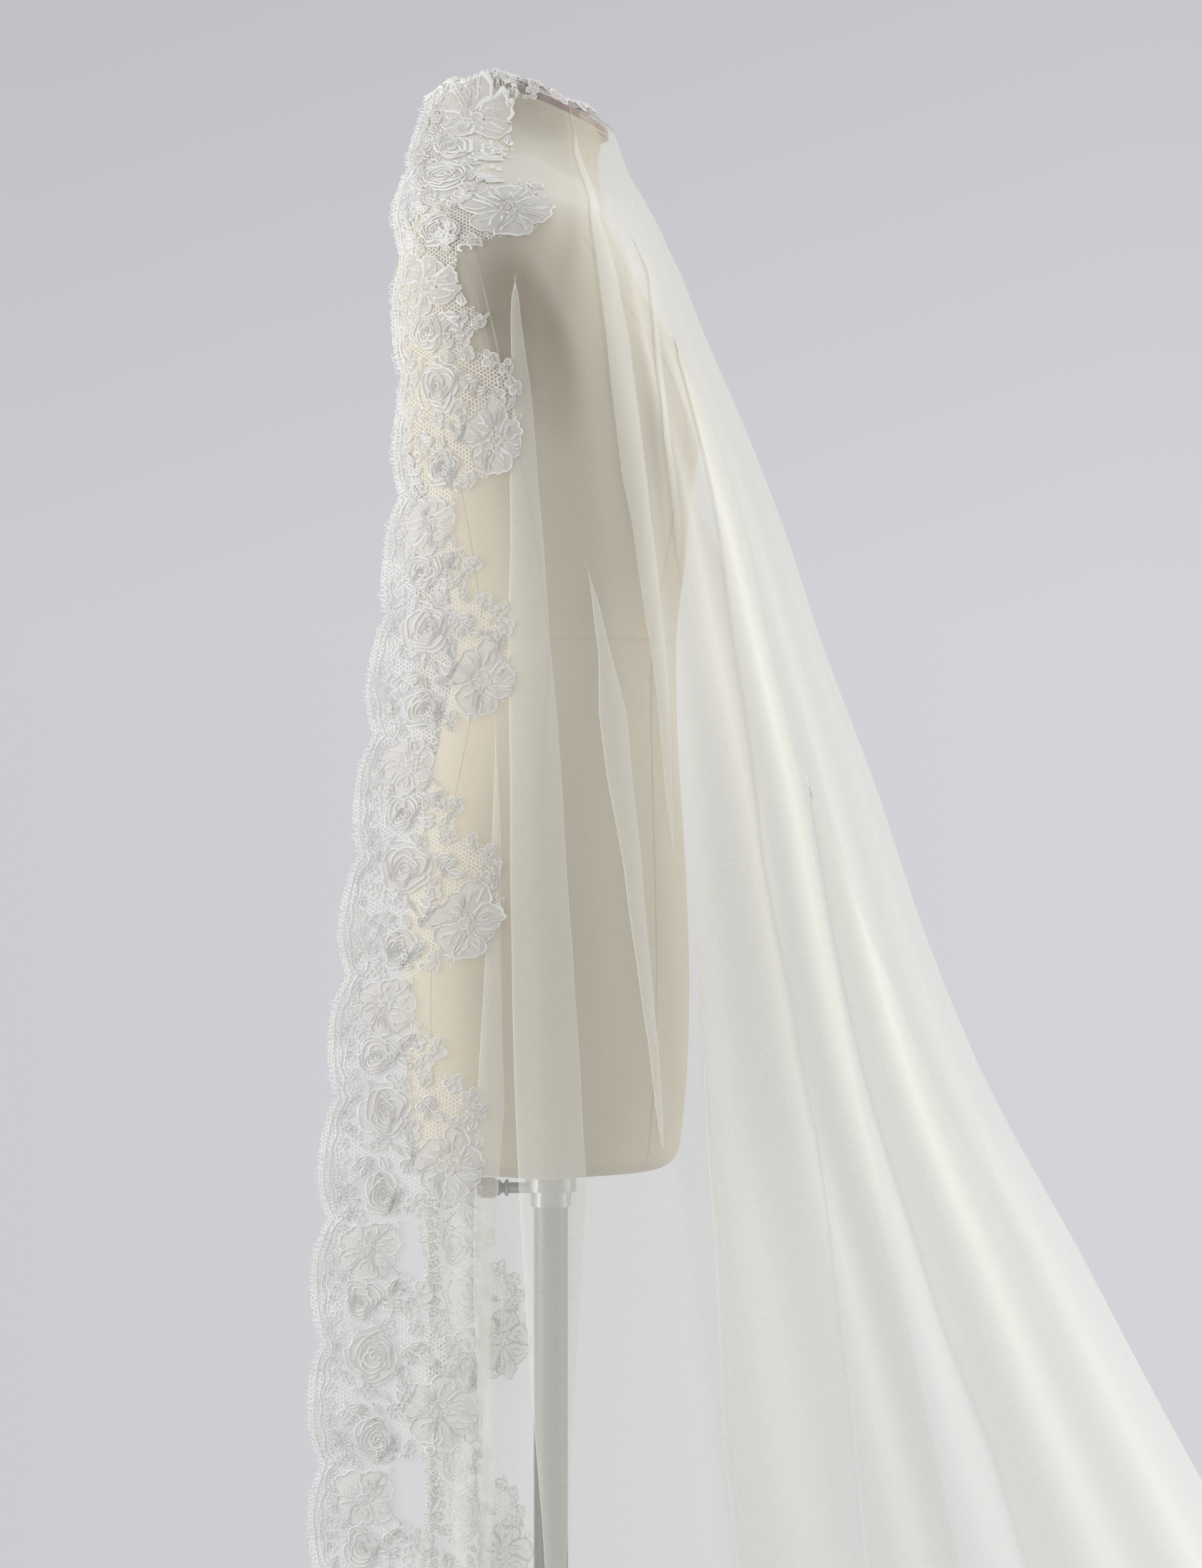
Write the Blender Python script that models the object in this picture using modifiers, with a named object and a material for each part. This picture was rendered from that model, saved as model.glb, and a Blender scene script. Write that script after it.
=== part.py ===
"""A lace-edged bridal veil laid over the neck of a limbless dress form on a round-based stand.

Metres, +Z up. The column's axis is the Z axis and the floor is z = 0. The form faces +X, and the
veil's lace edges hang at its back, towards -X. The form's right side is on -Y, its left on +Y.
"""

import functools
import math

import bmesh
import bpy
import numpy as np

# Gaps between pieces and walls of the cloth
SEAT = 0.0003
TULLE_WALL = 0.0012
LACE_WALL = 0.0011
LACE_LIFT = TULLE_WALL + SEAT

# Dress form: one row for each height, with its back, its front and its half width
TORSO_COLUMNS = ("z", "back_x", "front_x", "half_width")
TORSO_ROWS = (
    (0.690, -0.096, 0.088, 0.146),
    (0.700, -0.105, 0.098, 0.158),
    (0.715, -0.110, 0.1035, 0.163),
    (0.770, -0.117, 0.109, 0.168),
    (0.845, -0.120, 0.111, 0.169),
    (0.915, -0.114, 0.109, 0.165),
    (0.955, -0.1085, 0.107, 0.158),
    (1.000, -0.098, 0.104, 0.148),
    (1.058, -0.085, 0.101, 0.130),
    (1.113, -0.0755, 0.1005, 0.116),
    (1.145, -0.079, 0.103, 0.117),
    (1.189, -0.088, 0.110, 0.126),
    (1.243, -0.101, 0.114, 0.139),
    (1.289, -0.1185, 0.1185, 0.150),
    (1.338, -0.125, 0.1075, 0.158),
    (1.369, -0.128, 0.0905, 0.165),
    (1.401, -0.130, 0.0715, 0.177),
    (1.423, -0.128, 0.060, 0.186),
    (1.438, -0.121, 0.053, 0.184),
    (1.452, -0.109, 0.047, 0.168),
    (1.466, -0.092, 0.043, 0.140),
    (1.480, -0.074, 0.040, 0.106),
    (1.494, -0.060, 0.038, 0.074),
    (1.509, -0.0505, 0.0385, 0.056),
    (1.520, -0.0485, 0.0400, 0.0525),
)
TORSO_SIDES = 28

# Neck: cut on a plane that falls towards the front, with a thin wooden cap on it
CAP_SLOPE = 0.4457
CAP_TOP_Z = 1.550
CAP_THICK = 0.008
CAP_HALF_X = 0.0465
CAP_HALF_Y = 0.0525
CAP_SIDES = 36
CAP_BEVEL = 0.0012
NECK_INSET = 0.97

# Stand
COLUMN_RADIUS = 0.0138
COLLAR_HEIGHT = 0.027
COLLAR_FLANGE_RADIUS = 0.0205
COLLAR_FLANGE_HEIGHT = 0.015
COLLAR_RADIUS = 0.0165
BASE_RADIUS = 0.165
BASE_PROFILE = ((0.0, 0.030), (0.0204, 0.030), (0.024, 0.026), (0.0264, 0.022), (0.0908, 0.0176),
                (0.1535, 0.0108), (BASE_RADIUS, 0.0054), (BASE_RADIUS, 0.0), (0.0, 0.0))
HUB_HEIGHT = BASE_PROFILE[0][1]
COLUMN_SIDES = 32
TURNED_STEPS = 36

# Clamp screw: it turns on an axis along X, behind the column
ALONG_X = (0.0, math.pi / 2, 0.0)
SCREW_Z = 0.6775
SCREW_RADIUS = 0.0044
SCREW_CLEARANCE = 0.00008
SCREW_LENGTH = 0.0291
SCREW_END_X = -(COLUMN_RADIUS + SEAT)
SCREW_PROFILE = ((0.0, SCREW_LENGTH), (SCREW_RADIUS, SCREW_LENGTH), (SCREW_RADIUS, 0.0097),
                 (0.0068, 0.0087), (0.0068, 0.0067), (0.0035, 0.0047), (0.0065, 0.0017), (0.0065, 0.0),
                 (0.0, 0.0))
KNOB_PROFILE = ((0.0, 0.0), (0.0066, 0.0), (0.0085, -0.0025), (0.0085, -0.012), (0.006, -0.016),
                (0.0, -0.0165))
SCREW_SIDES = 24
BORE_HALF_LENGTH = 0.012

# Veil: one row for each level, from the cap's rim down to the floor and out to the hem.
# z is the height at X = 0. tilt is how steeply the level falls towards the front, and droop how
# steeply its back end falls. near_x and far_x are the lace's two outer edges, wrap is how far round
# the back each reaches in degrees. nose_x is the front ridge, fold_x the first fold's place, wave
# the depth of the folds, and lie is 1 where the cloth lies on the floor.
LEVEL_COLUMNS = ("z", "tilt", "droop", "near_x", "far_x", "wrap", "centre_x", "nose_x", "half_width",
                 "fold_x", "wave", "lie")
LEVEL_ROWS = (
    (1.550, 0.4457, 0.85, -0.1040, -0.1040, 150, 0.000, 0.0515, 0.0580, 0.016, 0.0000, 0),
    (1.533, 0.42, 0.50, -0.1060, -0.1060, 150, -0.004, 0.0570, 0.0615, 0.015, 0.0004, 0),
    (1.513, 0.34, 0.20, -0.1060, -0.1060, 148, -0.008, 0.0640, 0.0720, 0.013, 0.0008, 0),
    (1.493, 0.25, 0, -0.1100, -0.1080, 146, -0.014, 0.0735, 0.0985, 0.010, 0.0015, 0),
    (1.474, 0.15, 0, -0.1180, -0.1140, 144, -0.020, 0.0800, 0.1375, 0.007, 0.0020, 0),
    (1.456, 0.08, 0, -0.1220, -0.1200, 142, -0.026, 0.0865, 0.1740, 0.004, 0.0025, 0),
    (1.438, 0.04, 0, -0.1230, -0.1240, 140, -0.030, 0.0925, 0.1930, 0.000, 0.0030, 0),
    (1.410, 0, 0, -0.1225, -0.1260, 138, -0.030, 0.1035, 0.2010, -0.012, 0.0040, 0),
    (1.360, 0, 0, -0.1240, -0.1260, 136, -0.026, 0.1220, 0.2040, -0.020, 0.0060, 0),
    (1.285, 0, 0, -0.1220, -0.1220, 134, -0.018, 0.1530, 0.2060, -0.018, 0.0085, 0),
    (1.200, 0, 0, -0.1280, -0.1180, 132, -0.008, 0.1845, 0.2090, -0.016, 0.0105, 0),
    (1.116, 0, 0, -0.1390, -0.1180, 130, 0.000, 0.2110, 0.2130, -0.014, 0.0125, 0),
    (1.000, 0, 0, -0.1510, -0.1180, 128, 0.012, 0.2530, 0.2200, -0.008, 0.0150, 0),
    (0.880, 0, 0, -0.1650, -0.1180, 126, 0.025, 0.2920, 0.2290, -0.002, 0.0170, 0),
    (0.760, 0, 0, -0.1750, -0.1160, 124, 0.040, 0.3410, 0.2390, 0.002, 0.0190, 0),
    (0.626, 0, 0, -0.1840, -0.1140, 122, 0.058, 0.4137, 0.2500, 0.003, 0.0210, 0),
    (0.500, 0, 0, -0.1860, -0.1130, 121, 0.075, 0.4790, 0.2620, 0.002, 0.0230, 0),
    (0.370, 0, 0, -0.1840, -0.1130, 120, 0.095, 0.5520, 0.2750, 0.001, 0.0245, 0),
    (0.240, 0, 0, -0.1860, -0.1140, 119, 0.120, 0.6390, 0.2890, 0.000, 0.0250, 0),
    (0.120, 0, 0, -0.1910, -0.1170, 118, 0.150, 0.7300, 0.3030, 0.000, 0.0245, 0),
    (0.045, 0, 0, -0.1980, -0.1230, 118, 0.175, 0.8020, 0.3150, 0.000, 0.0220, 0.25),
    (0.008, 0, 0, -0.2100, -0.1320, 118, 0.200, 0.8750, 0.3320, 0.000, 0.0150, 0.80),
    (0.000, 0, 0, -0.2320, -0.1470, 118, 0.230, 0.9900, 0.3600, 0.000, 0.0110, 1),
    (0.000, 0, 0, -0.2500, -0.1640, 118, 0.260, 1.1300, 0.4000, 0.000, 0.0090, 1),
    (0.000, 0, 0, -0.2680, -0.1810, 118, 0.290, 1.2800, 0.4450, 0.000, 0.0070, 1),
    (0.000, 0, 0, -0.2860, -0.1980, 118, 0.320, 1.4300, 0.4950, 0.000, 0.0050, 1),
)
LAST_LEVEL = len(LEVEL_ROWS) - 1
FLOOR_LEVEL = 21
DROOP_FROM_X = -0.050
RING_SAMPLES = 420
NORMAL_STEP = 0.02
EDGE_STEPS = 20

# Folds of each side: how far each crest lies from the first fold to the front ridge, at the
# shoulder, the waist, the knee and the floor, and how deep it is beside the others
FOLD_COLUMNS = ("name", "shoulder", "waist", "knee", "floor", "depth")
FOLD_LEVELS = {"shoulder": 6, "waist": 11, "knee": 14.5, "floor": 21}
NEAR_FOLDS = (
    ("shoulder_tuck", 0.00, 0.00, 0.00, 0.00, 1.0),
    ("side_front", 0.30, 0.24, 0.22, 0.20, 0.8),
    ("hip_front", 0.50, 0.42, 0.34, 0.28, 0.9),
    ("bust", 0.62, 0.60, 0.53, 0.44, 1.0),
    ("train_low", 0.77, 0.74, 0.64, 0.58, 0.9),
    ("train_mid", 0.87, 0.86, 0.79, 0.74, 1.1),
    ("train_high", 0.95, 0.94, 0.91, 0.895, 1.0),
    ("ridge", 1.00, 1.00, 1.00, 1.00, 0.6),
)
FAR_FOLDS = (
    ("shoulder_tuck", 0.00, 0.00, 0.00, 0.00, 0.8),
    ("side_front", 0.27, 0.20, 0.19, 0.17, 1.0),
    ("hip_front", 0.47, 0.41, 0.36, 0.31, 0.8),
    ("bust", 0.64, 0.62, 0.54, 0.46, 0.9),
    ("train_low", 0.80, 0.80, 0.68, 0.59, 1.1),
    ("train_mid", 0.90, 0.90, 0.81, 0.73, 0.9),
    ("train_high", 0.96, 0.96, 0.93, 0.88, 1.0),
    ("ridge", 1.00, 1.00, 1.00, 1.00, 0.6),
)
FOLDS = {-1: [dict(zip(FOLD_COLUMNS, row)) for row in NEAR_FOLDS],
         1: [dict(zip(FOLD_COLUMNS, row)) for row in FAR_FOLDS]}
FOLD_COUNT = len(NEAR_FOLDS) - 1
COLUMNS_PER_FOLD = 4
LACE_WAVE = (0.050, 0.100)
LACE_WAVE_DEPTH = 0.35
SEAM_STEP = 0.007

# Lace border: a pattern that repeats along the edge, with two scallops in each repeat
REPEAT = 0.187
SCALLOP = REPEAT / 2
SCALLOP_ROWS = 4
SCALLOP_DEPTH = 0.013
LACE_NARROW = 0.074
LACE_WIDE = 0.140
LOBE_SHAPE = 0.7
SCALLOP_SHAPE = 0.6
LOBE_HEIGHT = 0.902
LACE_STRIPS = 5
SHOULDER_Z = 1.37
FLOOR_Z = 0.1
STRIDES = {"shoulder": 2, "hanging": 4, "floor": 1}
TULLE_FROM_STRIP = 4
FLOWER_RADIUS = 0.040
FLOWER_RELIEF = 0.0008
FLOWER_IN = 0.055

# Crown of the veil: the front edge stands out behind the neck
FRONT_X = -0.101
FRONT_HALF = 0.030
FRONT_DROP = 0.42
BACK_RINGS = (0.0, 0.5, 1.0)
CAP_RINGS = (0.5, 0.9)
SIDE_BEND = 0.6
CROWN_STRIDE = 3
RIM_MARGIN = 0.005


def clear_scene():
    for old in list(bpy.data.objects):
        bpy.data.objects.remove(old)


def new_collection(name, parent):
    made = bpy.data.collections.new(name)
    parent.children.link(made)
    return made


def material(name, color, roughness, metallic=0.0):
    made = bpy.data.materials.new(name)
    made.use_nodes = True
    shader = made.node_tree.nodes["Principled BSDF"]
    shader.inputs["Base Color"].default_value = (*color, 1.0)
    shader.inputs["Roughness"].default_value = roughness
    shader.inputs["Metallic"].default_value = metallic
    return made


def mesh_object(name, points, faces, look, collection):
    mesh = bpy.data.meshes.new(name)
    mesh.from_pydata([tuple(float(value) for value in point) for point in points], [], faces)
    mesh.materials.append(look)
    mesh.shade_smooth()
    made = bpy.data.objects.new(name, mesh)
    collection.objects.link(made)
    return made


def turned(name, profile, look, collection, place=(0, 0, 0), turn=(0, 0, 0), steps=TURNED_STEPS):
    """A closed profile of (radius, height) points, turned round Z and then placed."""
    points = [(radius, 0.0, height) for radius, height in profile]
    mesh = bpy.data.meshes.new(name)
    mesh.from_pydata(points, [(k, k + 1) for k in range(len(points) - 1)], [])
    mesh.materials.append(look)
    made = bpy.data.objects.new(name, mesh)
    made.location = place
    made.rotation_euler = turn
    collection.objects.link(made)
    screw = made.modifiers.new("turn", "SCREW")
    screw.axis = "Z"
    screw.steps = steps
    screw.render_steps = steps
    screw.use_merge_vertices = True
    screw.merge_threshold = 0.00001
    screw.use_smooth_shade = False
    return made


def cap_plane(x):
    """Height of the cap's top face over the point x."""
    return CAP_TOP_Z - CAP_SLOPE * x


def build_torso(look, collection):
    rows = [dict(zip(TORSO_COLUMNS, row)) for row in TORSO_ROWS]
    points = []
    for row in rows:
        middle = (row["front_x"] + row["back_x"]) / 2
        half = (row["front_x"] - row["back_x"]) / 2
        for side in range(TORSO_SIDES):
            angle = 2 * math.pi * side / TORSO_SIDES
            x = middle + half * math.cos(angle)
            points.append((x, row["half_width"] * math.sin(angle), row["z"]))
    neck_drop = (CAP_THICK + SEAT) * math.hypot(1, CAP_SLOPE)
    for side in range(TORSO_SIDES):
        angle = 2 * math.pi * side / TORSO_SIDES
        x = CAP_HALF_X * NECK_INSET * math.cos(angle)
        y = CAP_HALF_Y * NECK_INSET * math.sin(angle)
        points.append((x, y, cap_plane(x) - neck_drop))
    faces = []
    for row in range(len(rows)):
        for side in range(TORSO_SIDES):
            after = (side + 1) % TORSO_SIDES
            low = row * TORSO_SIDES
            high = low + TORSO_SIDES
            faces.append((low + side, low + after, high + after, high + side))
    last = len(rows) * TORSO_SIDES
    faces.append(tuple(range(TORSO_SIDES - 1, -1, -1)))
    faces.append(tuple(range(last, last + TORSO_SIDES)))
    mesh_object("torso", points, faces, look, collection)


def build_neck_cap(look, collection):
    shape = bmesh.new()
    bmesh.ops.create_cone(shape, cap_ends=True, segments=CAP_SIDES, radius1=1.0, radius2=1.0, depth=1.0)
    lean = math.hypot(1, CAP_SLOPE)
    for vert in shape.verts:
        x, y, up = vert.co
        vert.co.x = x * CAP_HALF_X
        vert.co.y = y * CAP_HALF_Y
        vert.co.z = cap_plane(vert.co.x) - (0.5 - up) * CAP_THICK * lean
    mesh = bpy.data.meshes.new("neck_cap")
    shape.to_mesh(mesh)
    shape.free()
    mesh.materials.append(look)
    made = bpy.data.objects.new("neck_cap", mesh)
    collection.objects.link(made)
    bevel = made.modifiers.new("soft rim", "BEVEL")
    bevel.width = CAP_BEVEL
    bevel.segments = 2
    bevel.limit_method = "ANGLE"


def build_collar(look, collection, cutters):
    """Turned sleeve on the column, under the torso, with a bore for the clamp screw."""
    top = TORSO_ROWS[0][0] - SEAT
    inner = COLUMN_RADIUS + SEAT
    step_z = top - COLLAR_FLANGE_HEIGHT
    foot = top - COLLAR_HEIGHT
    profile = ((inner, top), (COLLAR_FLANGE_RADIUS, top), (COLLAR_FLANGE_RADIUS, step_z),
               (COLLAR_RADIUS, step_z), (COLLAR_RADIUS, foot), (inner, foot), (inner, top))
    collar = turned("collar", profile, look, collection)
    radius = SCREW_RADIUS + SCREW_CLEARANCE
    bore_profile = ((0.0, BORE_HALF_LENGTH), (radius, BORE_HALF_LENGTH),
                    (radius, -BORE_HALF_LENGTH), (0.0, -BORE_HALF_LENGTH))
    place = (-(COLUMN_RADIUS + BORE_HALF_LENGTH / 2), 0.0, SCREW_Z)
    bore = turned("screw_bore", bore_profile, look, cutters, place, ALONG_X, SCREW_SIDES)
    bore.hide_render = True
    bore.display_type = "WIRE"
    cut = collar.modifiers.new("screw bore", "BOOLEAN")
    cut.object = bore
    cut.operation = "DIFFERENCE"


def build_clamp_screw(metal, wood, collection):
    """Screw with its thrust ring, and the knob on its end, turned on the X axis."""
    rod_end = SCREW_END_X - SCREW_LENGTH
    turned("clamp_screw", SCREW_PROFILE, metal, collection, (rod_end, 0.0, SCREW_Z), ALONG_X, SCREW_SIDES)
    knob_end = rod_end - SEAT
    turned("clamp_knob", KNOB_PROFILE, wood, collection, (knob_end, 0.0, SCREW_Z), ALONG_X, SCREW_SIDES)


def build_stand(metal, collection):
    """Column from the base's hub to the torso's underside, and the turned base under it."""
    low = HUB_HEIGHT + SEAT
    high = TORSO_ROWS[0][0] - SEAT
    profile = ((0.0, high), (COLUMN_RADIUS, high), (COLUMN_RADIUS, low), (0.0, low))
    turned("column", profile, metal, collection, steps=COLUMN_SIDES)
    turned("base", BASE_PROFILE, metal, collection)


def level(place):
    """The veil's level table, read smoothly at a row number with a fraction."""
    table = np.array(LEVEL_ROWS, dtype=float)
    place = min(max(place, 0.0), float(LAST_LEVEL))
    low = min(int(place), LAST_LEVEL - 1)
    part = place - low
    before, start, end, after = (table[min(max(low + k, 0), LAST_LEVEL)] for k in (-1, 0, 1, 2))
    lean_in = (end - before) / 2
    lean_out = (after - start) / 2
    value = ((1 + 2 * part) * (1 - part) ** 2 * start + part * (1 - part) ** 2 * lean_in
             + part ** 2 * (3 - 2 * part) * end + part ** 2 * (part - 1) * lean_out)
    row = dict(zip(LEVEL_COLUMNS, value))
    row["lie"] = min(max(row["lie"], 0.0), 1.0)
    row["z"] = max(row["z"], 0.0)
    return row


def fold_places(side, place, row):
    """X of each fold's crest at a level, from the first fold to the front ridge."""
    shares = [np.interp(place, list(FOLD_LEVELS.values()), [fold[name] for name in FOLD_LEVELS])
              for fold in FOLDS[side]]
    return row["fold_x"] + (row["nose_x"] - row["fold_x"]) * np.array(shares)


def fold_number(side, place, row, x):
    """Which fold a point belongs to: whole numbers are crests, and the lace is below 0."""
    crests = fold_places(side, place, row)
    numbers = np.interp(x, crests, np.arange(FOLD_COUNT + 1))
    lace_wave = np.interp(place, (0, LAST_LEVEL), LACE_WAVE)
    return np.where(x < crests[0], (x - crests[0]) / lace_wave, numbers)


def ring_points(side, place):
    """One side of the cloth at a level, from the lace's outer edge to the front ridge."""
    row = level(place)
    edge_x = row["near_x"] if side < 0 else row["far_x"]
    wrap = math.radians(row["wrap"])
    angle = wrap * np.linspace(1.0, 0.0, RING_SAMPLES)
    back = (row["centre_x"] - edge_x) / -math.cos(wrap)
    front = row["nose_x"] - row["centre_x"]
    reach = np.where(angle > math.pi / 2, back, front)
    x = row["centre_x"] + reach * np.cos(angle)
    y = side * row["half_width"] * np.sin(angle)
    out_x = row["half_width"] * np.cos(angle)
    out_y = side * reach * np.sin(angle)
    size = np.hypot(out_x, out_y)
    number = fold_number(side, place, row, x)
    depths = [LACE_WAVE_DEPTH] + [fold["depth"] for fold in FOLDS[side]]
    depth = np.interp(number, range(-1, FOLD_COUNT + 1), depths)
    wave = row["wave"] * depth * np.cos(2 * math.pi * number)
    hang = wave * (1 - row["lie"])
    lift = (row["wave"] * depth + wave) * row["lie"]
    z = row["z"] - row["tilt"] * x - row["droop"] * np.maximum(DROOP_FROM_X - x, 0.0) + lift
    made = np.column_stack((x + hang * out_x / size, y + hang * out_y / size, np.maximum(z, 0.0)))
    return made, number


@functools.lru_cache(maxsize=None)
def ring(side, place):
    """Points, outward normals, fold numbers and edge distances round one side of a level."""
    points, number = ring_points(side, place)
    below = ring_points(side, min(place + NORMAL_STEP, LAST_LEVEL))[0]
    above = ring_points(side, max(place - NORMAL_STEP, 0.0))[0]
    along = np.gradient(points, axis=0)
    normal = side * np.cross(along, below - above)
    normal /= np.linalg.norm(normal, axis=1)[:, None]
    run = np.concatenate(([0.0], np.cumsum(np.linalg.norm(np.diff(points, axis=0), axis=1))))
    return points, normal, number, run


def read_ring(made, spot):
    """Point and normal of a ring at a sample number with a fraction."""
    points, normal = made[0], made[1]
    steps = np.arange(len(points))
    point = np.array([np.interp(spot, steps, points[:, k]) for k in range(3)])
    out = np.array([np.interp(spot, steps, normal[:, k]) for k in range(3)])
    return point, out / np.linalg.norm(out)


def edge_lengths(side):
    """Length along the lace's outer edge, for even steps of the level number."""
    places = np.linspace(0, LAST_LEVEL, EDGE_STEPS * LAST_LEVEL + 1)
    edge = np.array([ring_points(side, place)[0][0] for place in places])
    steps = np.linalg.norm(np.diff(edge, axis=0), axis=1)
    return places, np.concatenate(([0.0], np.cumsum(steps))), edge


class Side:
    """One side of the veil: its lace edge measured along its length, and its columns of points."""

    def __init__(self, side):
        self.side = side
        self.places, self.lengths, edge = edge_lengths(side)
        hanging = edge[:, 2] > LOBE_HEIGHT / 2
        self.lobe = float(np.interp(-LOBE_HEIGHT, -edge[hanging, 2], self.lengths[hanging]))

    def length(self, place):
        return float(np.interp(place, self.places, self.lengths))

    def lace_width(self, along):
        share = abs(math.cos(math.pi * (along - self.lobe) / REPEAT)) ** LOBE_SHAPE
        return LACE_NARROW + (LACE_WIDE - LACE_NARROW) * share

    def scallop(self, along):
        phase = math.pi * (along - self.lobe) / SCALLOP
        return SCALLOP_DEPTH * (1 - abs(math.cos(phase)) ** SCALLOP_SHAPE)

    def column(self, place, name):
        """Point, normal and lace position of a named column: ("lace", k), ("seam", 0) or ("fold", c)."""
        made = ring(self.side, place)
        number, run = made[2], made[3]
        steps = np.arange(len(run))
        along = self.length(place)
        first_fold = float(np.interp(0.0, number, steps))
        outer = self.scallop(along)
        fold_run = float(np.interp(first_fold, steps, run))
        inner = min(self.lace_width(along), fold_run - 2 * SEAM_STEP)
        kind, value = name
        if kind == "lace":
            distance = outer + (inner - outer) * value / LACE_STRIPS
            spot = float(np.interp(distance, run, steps))
            return (*read_ring(made, spot), along, distance)
        if kind == "seam":
            spot = float(np.interp(fold_run - SEAM_STEP, run, steps))
        else:
            spot = float(np.interp(value, number, steps))
        return (*read_ring(made, spot), along, 0.0)


LACE_COLUMNS = [("lace", k) for k in range(LACE_STRIPS + 1)]
FOLD_STEPS = [("fold", k / COLUMNS_PER_FOLD) for k in range(FOLD_COUNT * COLUMNS_PER_FOLD + 1)]
OPEN_COLUMNS = [("seam", 0)] + FOLD_STEPS


class Sheet:
    """Collects the points and faces of a stretch of cloth, and closes it into a wall."""

    def __init__(self):
        self.index = {}
        self.points = []
        self.normals = []
        self.lifts = []
        self.walls = []
        self.faces = []

    def add(self, key, point, normal, lift, wall):
        if key not in self.index:
            self.index[key] = len(self.points)
            self.points.append(point)
            self.normals.append(normal)
            self.lifts.append(lift)
            self.walls.append(wall)
        return self.index[key]

    def face(self, *corners):
        """Triangles of a quad or a triangle, always split from the first corner."""
        for k in range(1, len(corners) - 1):
            self.faces.append((corners[0], corners[k], corners[k + 1]))

    def stitch(self, start, end, fine):
        """Triangles between one coarse step and the finer steps beside it."""
        middle = (len(fine) - 1) // 2
        for k in range(middle):
            self.face(start, fine[k], fine[k + 1])
        self.face(start, fine[middle], end)
        for k in range(middle, len(fine) - 1):
            self.face(end, fine[k], fine[k + 1])

    def closed(self, name, look, collection):
        points = np.array(self.points)
        normals = np.array(self.normals)
        lifts = np.array(self.lifts)[:, None]
        walls = np.array(self.walls)[:, None]
        plain = points + normals * lifts
        raised = plain + normals * walls
        count = len(points)
        edges = {}
        for face in self.faces:
            for k, corner in enumerate(face):
                edges[(face[k - 1], corner)] = True
        faces = [tuple(corner + count for corner in face) for face in self.faces]
        faces += [tuple(reversed(face)) for face in self.faces]
        for start, end in edges:
            if (end, start) not in edges:
                first, after = sorted((start, end), key=lambda corner: points[corner][0])
                faces += [(start, end, after + count), (first, end + count, start + count)]
        made = mesh_object(name, np.vstack((plain, raised)), faces, look, collection)
        shape = bmesh.new()
        shape.from_mesh(made.data)
        bmesh.ops.recalc_face_normals(shape, faces=shape.faces[:])
        shape.to_mesh(made.data)
        shape.free()
        return made


def relief(side, along, distance):
    """How far the big flower of each repeat stands out of the lace."""
    offset = (along - side.lobe) / REPEAT
    away = (offset - round(offset)) * REPEAT
    reach = math.hypot(away, distance - LACE_WIDE + FLOWER_IN) / FLOWER_RADIUS
    return FLOWER_RELIEF * max(0.0, 1 - reach ** 2)


def lace_rows(near):
    """Level numbers of the lace's rows: SCALLOP_ROWS to a scallop, along the near edge."""
    step = SCALLOP / SCALLOP_ROWS
    count = int(near.lengths[-1] / step)
    rows = [float(np.interp(k * step, near.lengths, near.places)) for k in range(count + 1)]
    rows[-1] = float(LAST_LEVEL)
    return rows


def wide_rows(rows):
    """Numbers of the lace rows that run right across the tulle: closer at the shoulder and floor."""
    kept = [0]
    for k in range(1, len(rows)):
        height = level(rows[k])["z"]
        stride = STRIDES["hanging"]
        if height > SHOULDER_Z:
            stride = STRIDES["shoulder"]
        if height < FLOOR_Z:
            stride = STRIDES["floor"]
        if k == 1 or k - kept[-1] >= stride or k == len(rows) - 1:
            kept.append(k)
    return kept


def moved_towards(start, end):
    """A point and normal moved by the seam gap towards the next ones."""
    share = SEAT / np.linalg.norm(end[0] - start[0])
    normal = start[1] + (end[1] - start[1]) * share
    return start[0] + (end[0] - start[0]) * share, normal / np.linalg.norm(normal)


def build_tulle(name, stretch_sides, rows, wide, look, collection, on_floor=False):
    """A stretch of the tulle panel: one hanging side, or both sides of the train on the floor."""
    sheet = Sheet()
    ridge = FOLD_STEPS[-1]

    def corner(side, k, column):
        if on_floor and column == ridge:
            side = stretch_sides[0]
        made = side.column(rows[k], column)[:2]
        if on_floor and k == wide[0]:
            made = moved_towards(made, side.column(rows[k + 1], column)[:2])
        if not on_floor and side.side > 0 and column == ridge:
            made = moved_towards(made, side.column(rows[k], FOLD_STEPS[-2])[:2])
        return sheet.add((side.side, k, column), *made, 0.0, TULLE_WALL)

    for side in stretch_sides:
        order = 1 if side.side < 0 else -1
        hidden = LACE_COLUMNS[TULLE_FROM_STRIP:]
        for k in range(wide[0], wide[-1]):
            for left, right in zip(hidden, hidden[1:]):
                quad = [corner(side, k, left), corner(side, k + 1, left),
                        corner(side, k + 1, right), corner(side, k, right)]
                sheet.face(*quad[::order])
        for top, bottom in zip(wide, wide[1:]):
            fine = [corner(side, k, LACE_COLUMNS[-1]) for k in range(top, bottom + 1)]
            ends = [corner(side, top, OPEN_COLUMNS[0]), corner(side, bottom, OPEN_COLUMNS[0])]
            sheet.stitch(*ends[::order], fine[::order])
            for left, right in zip(OPEN_COLUMNS, OPEN_COLUMNS[1:]):
                quad = [corner(side, top, left), corner(side, bottom, left),
                        corner(side, bottom, right), corner(side, top, right)]
                sheet.face(*quad[::order])
    return sheet.closed(name, look, collection)


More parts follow.
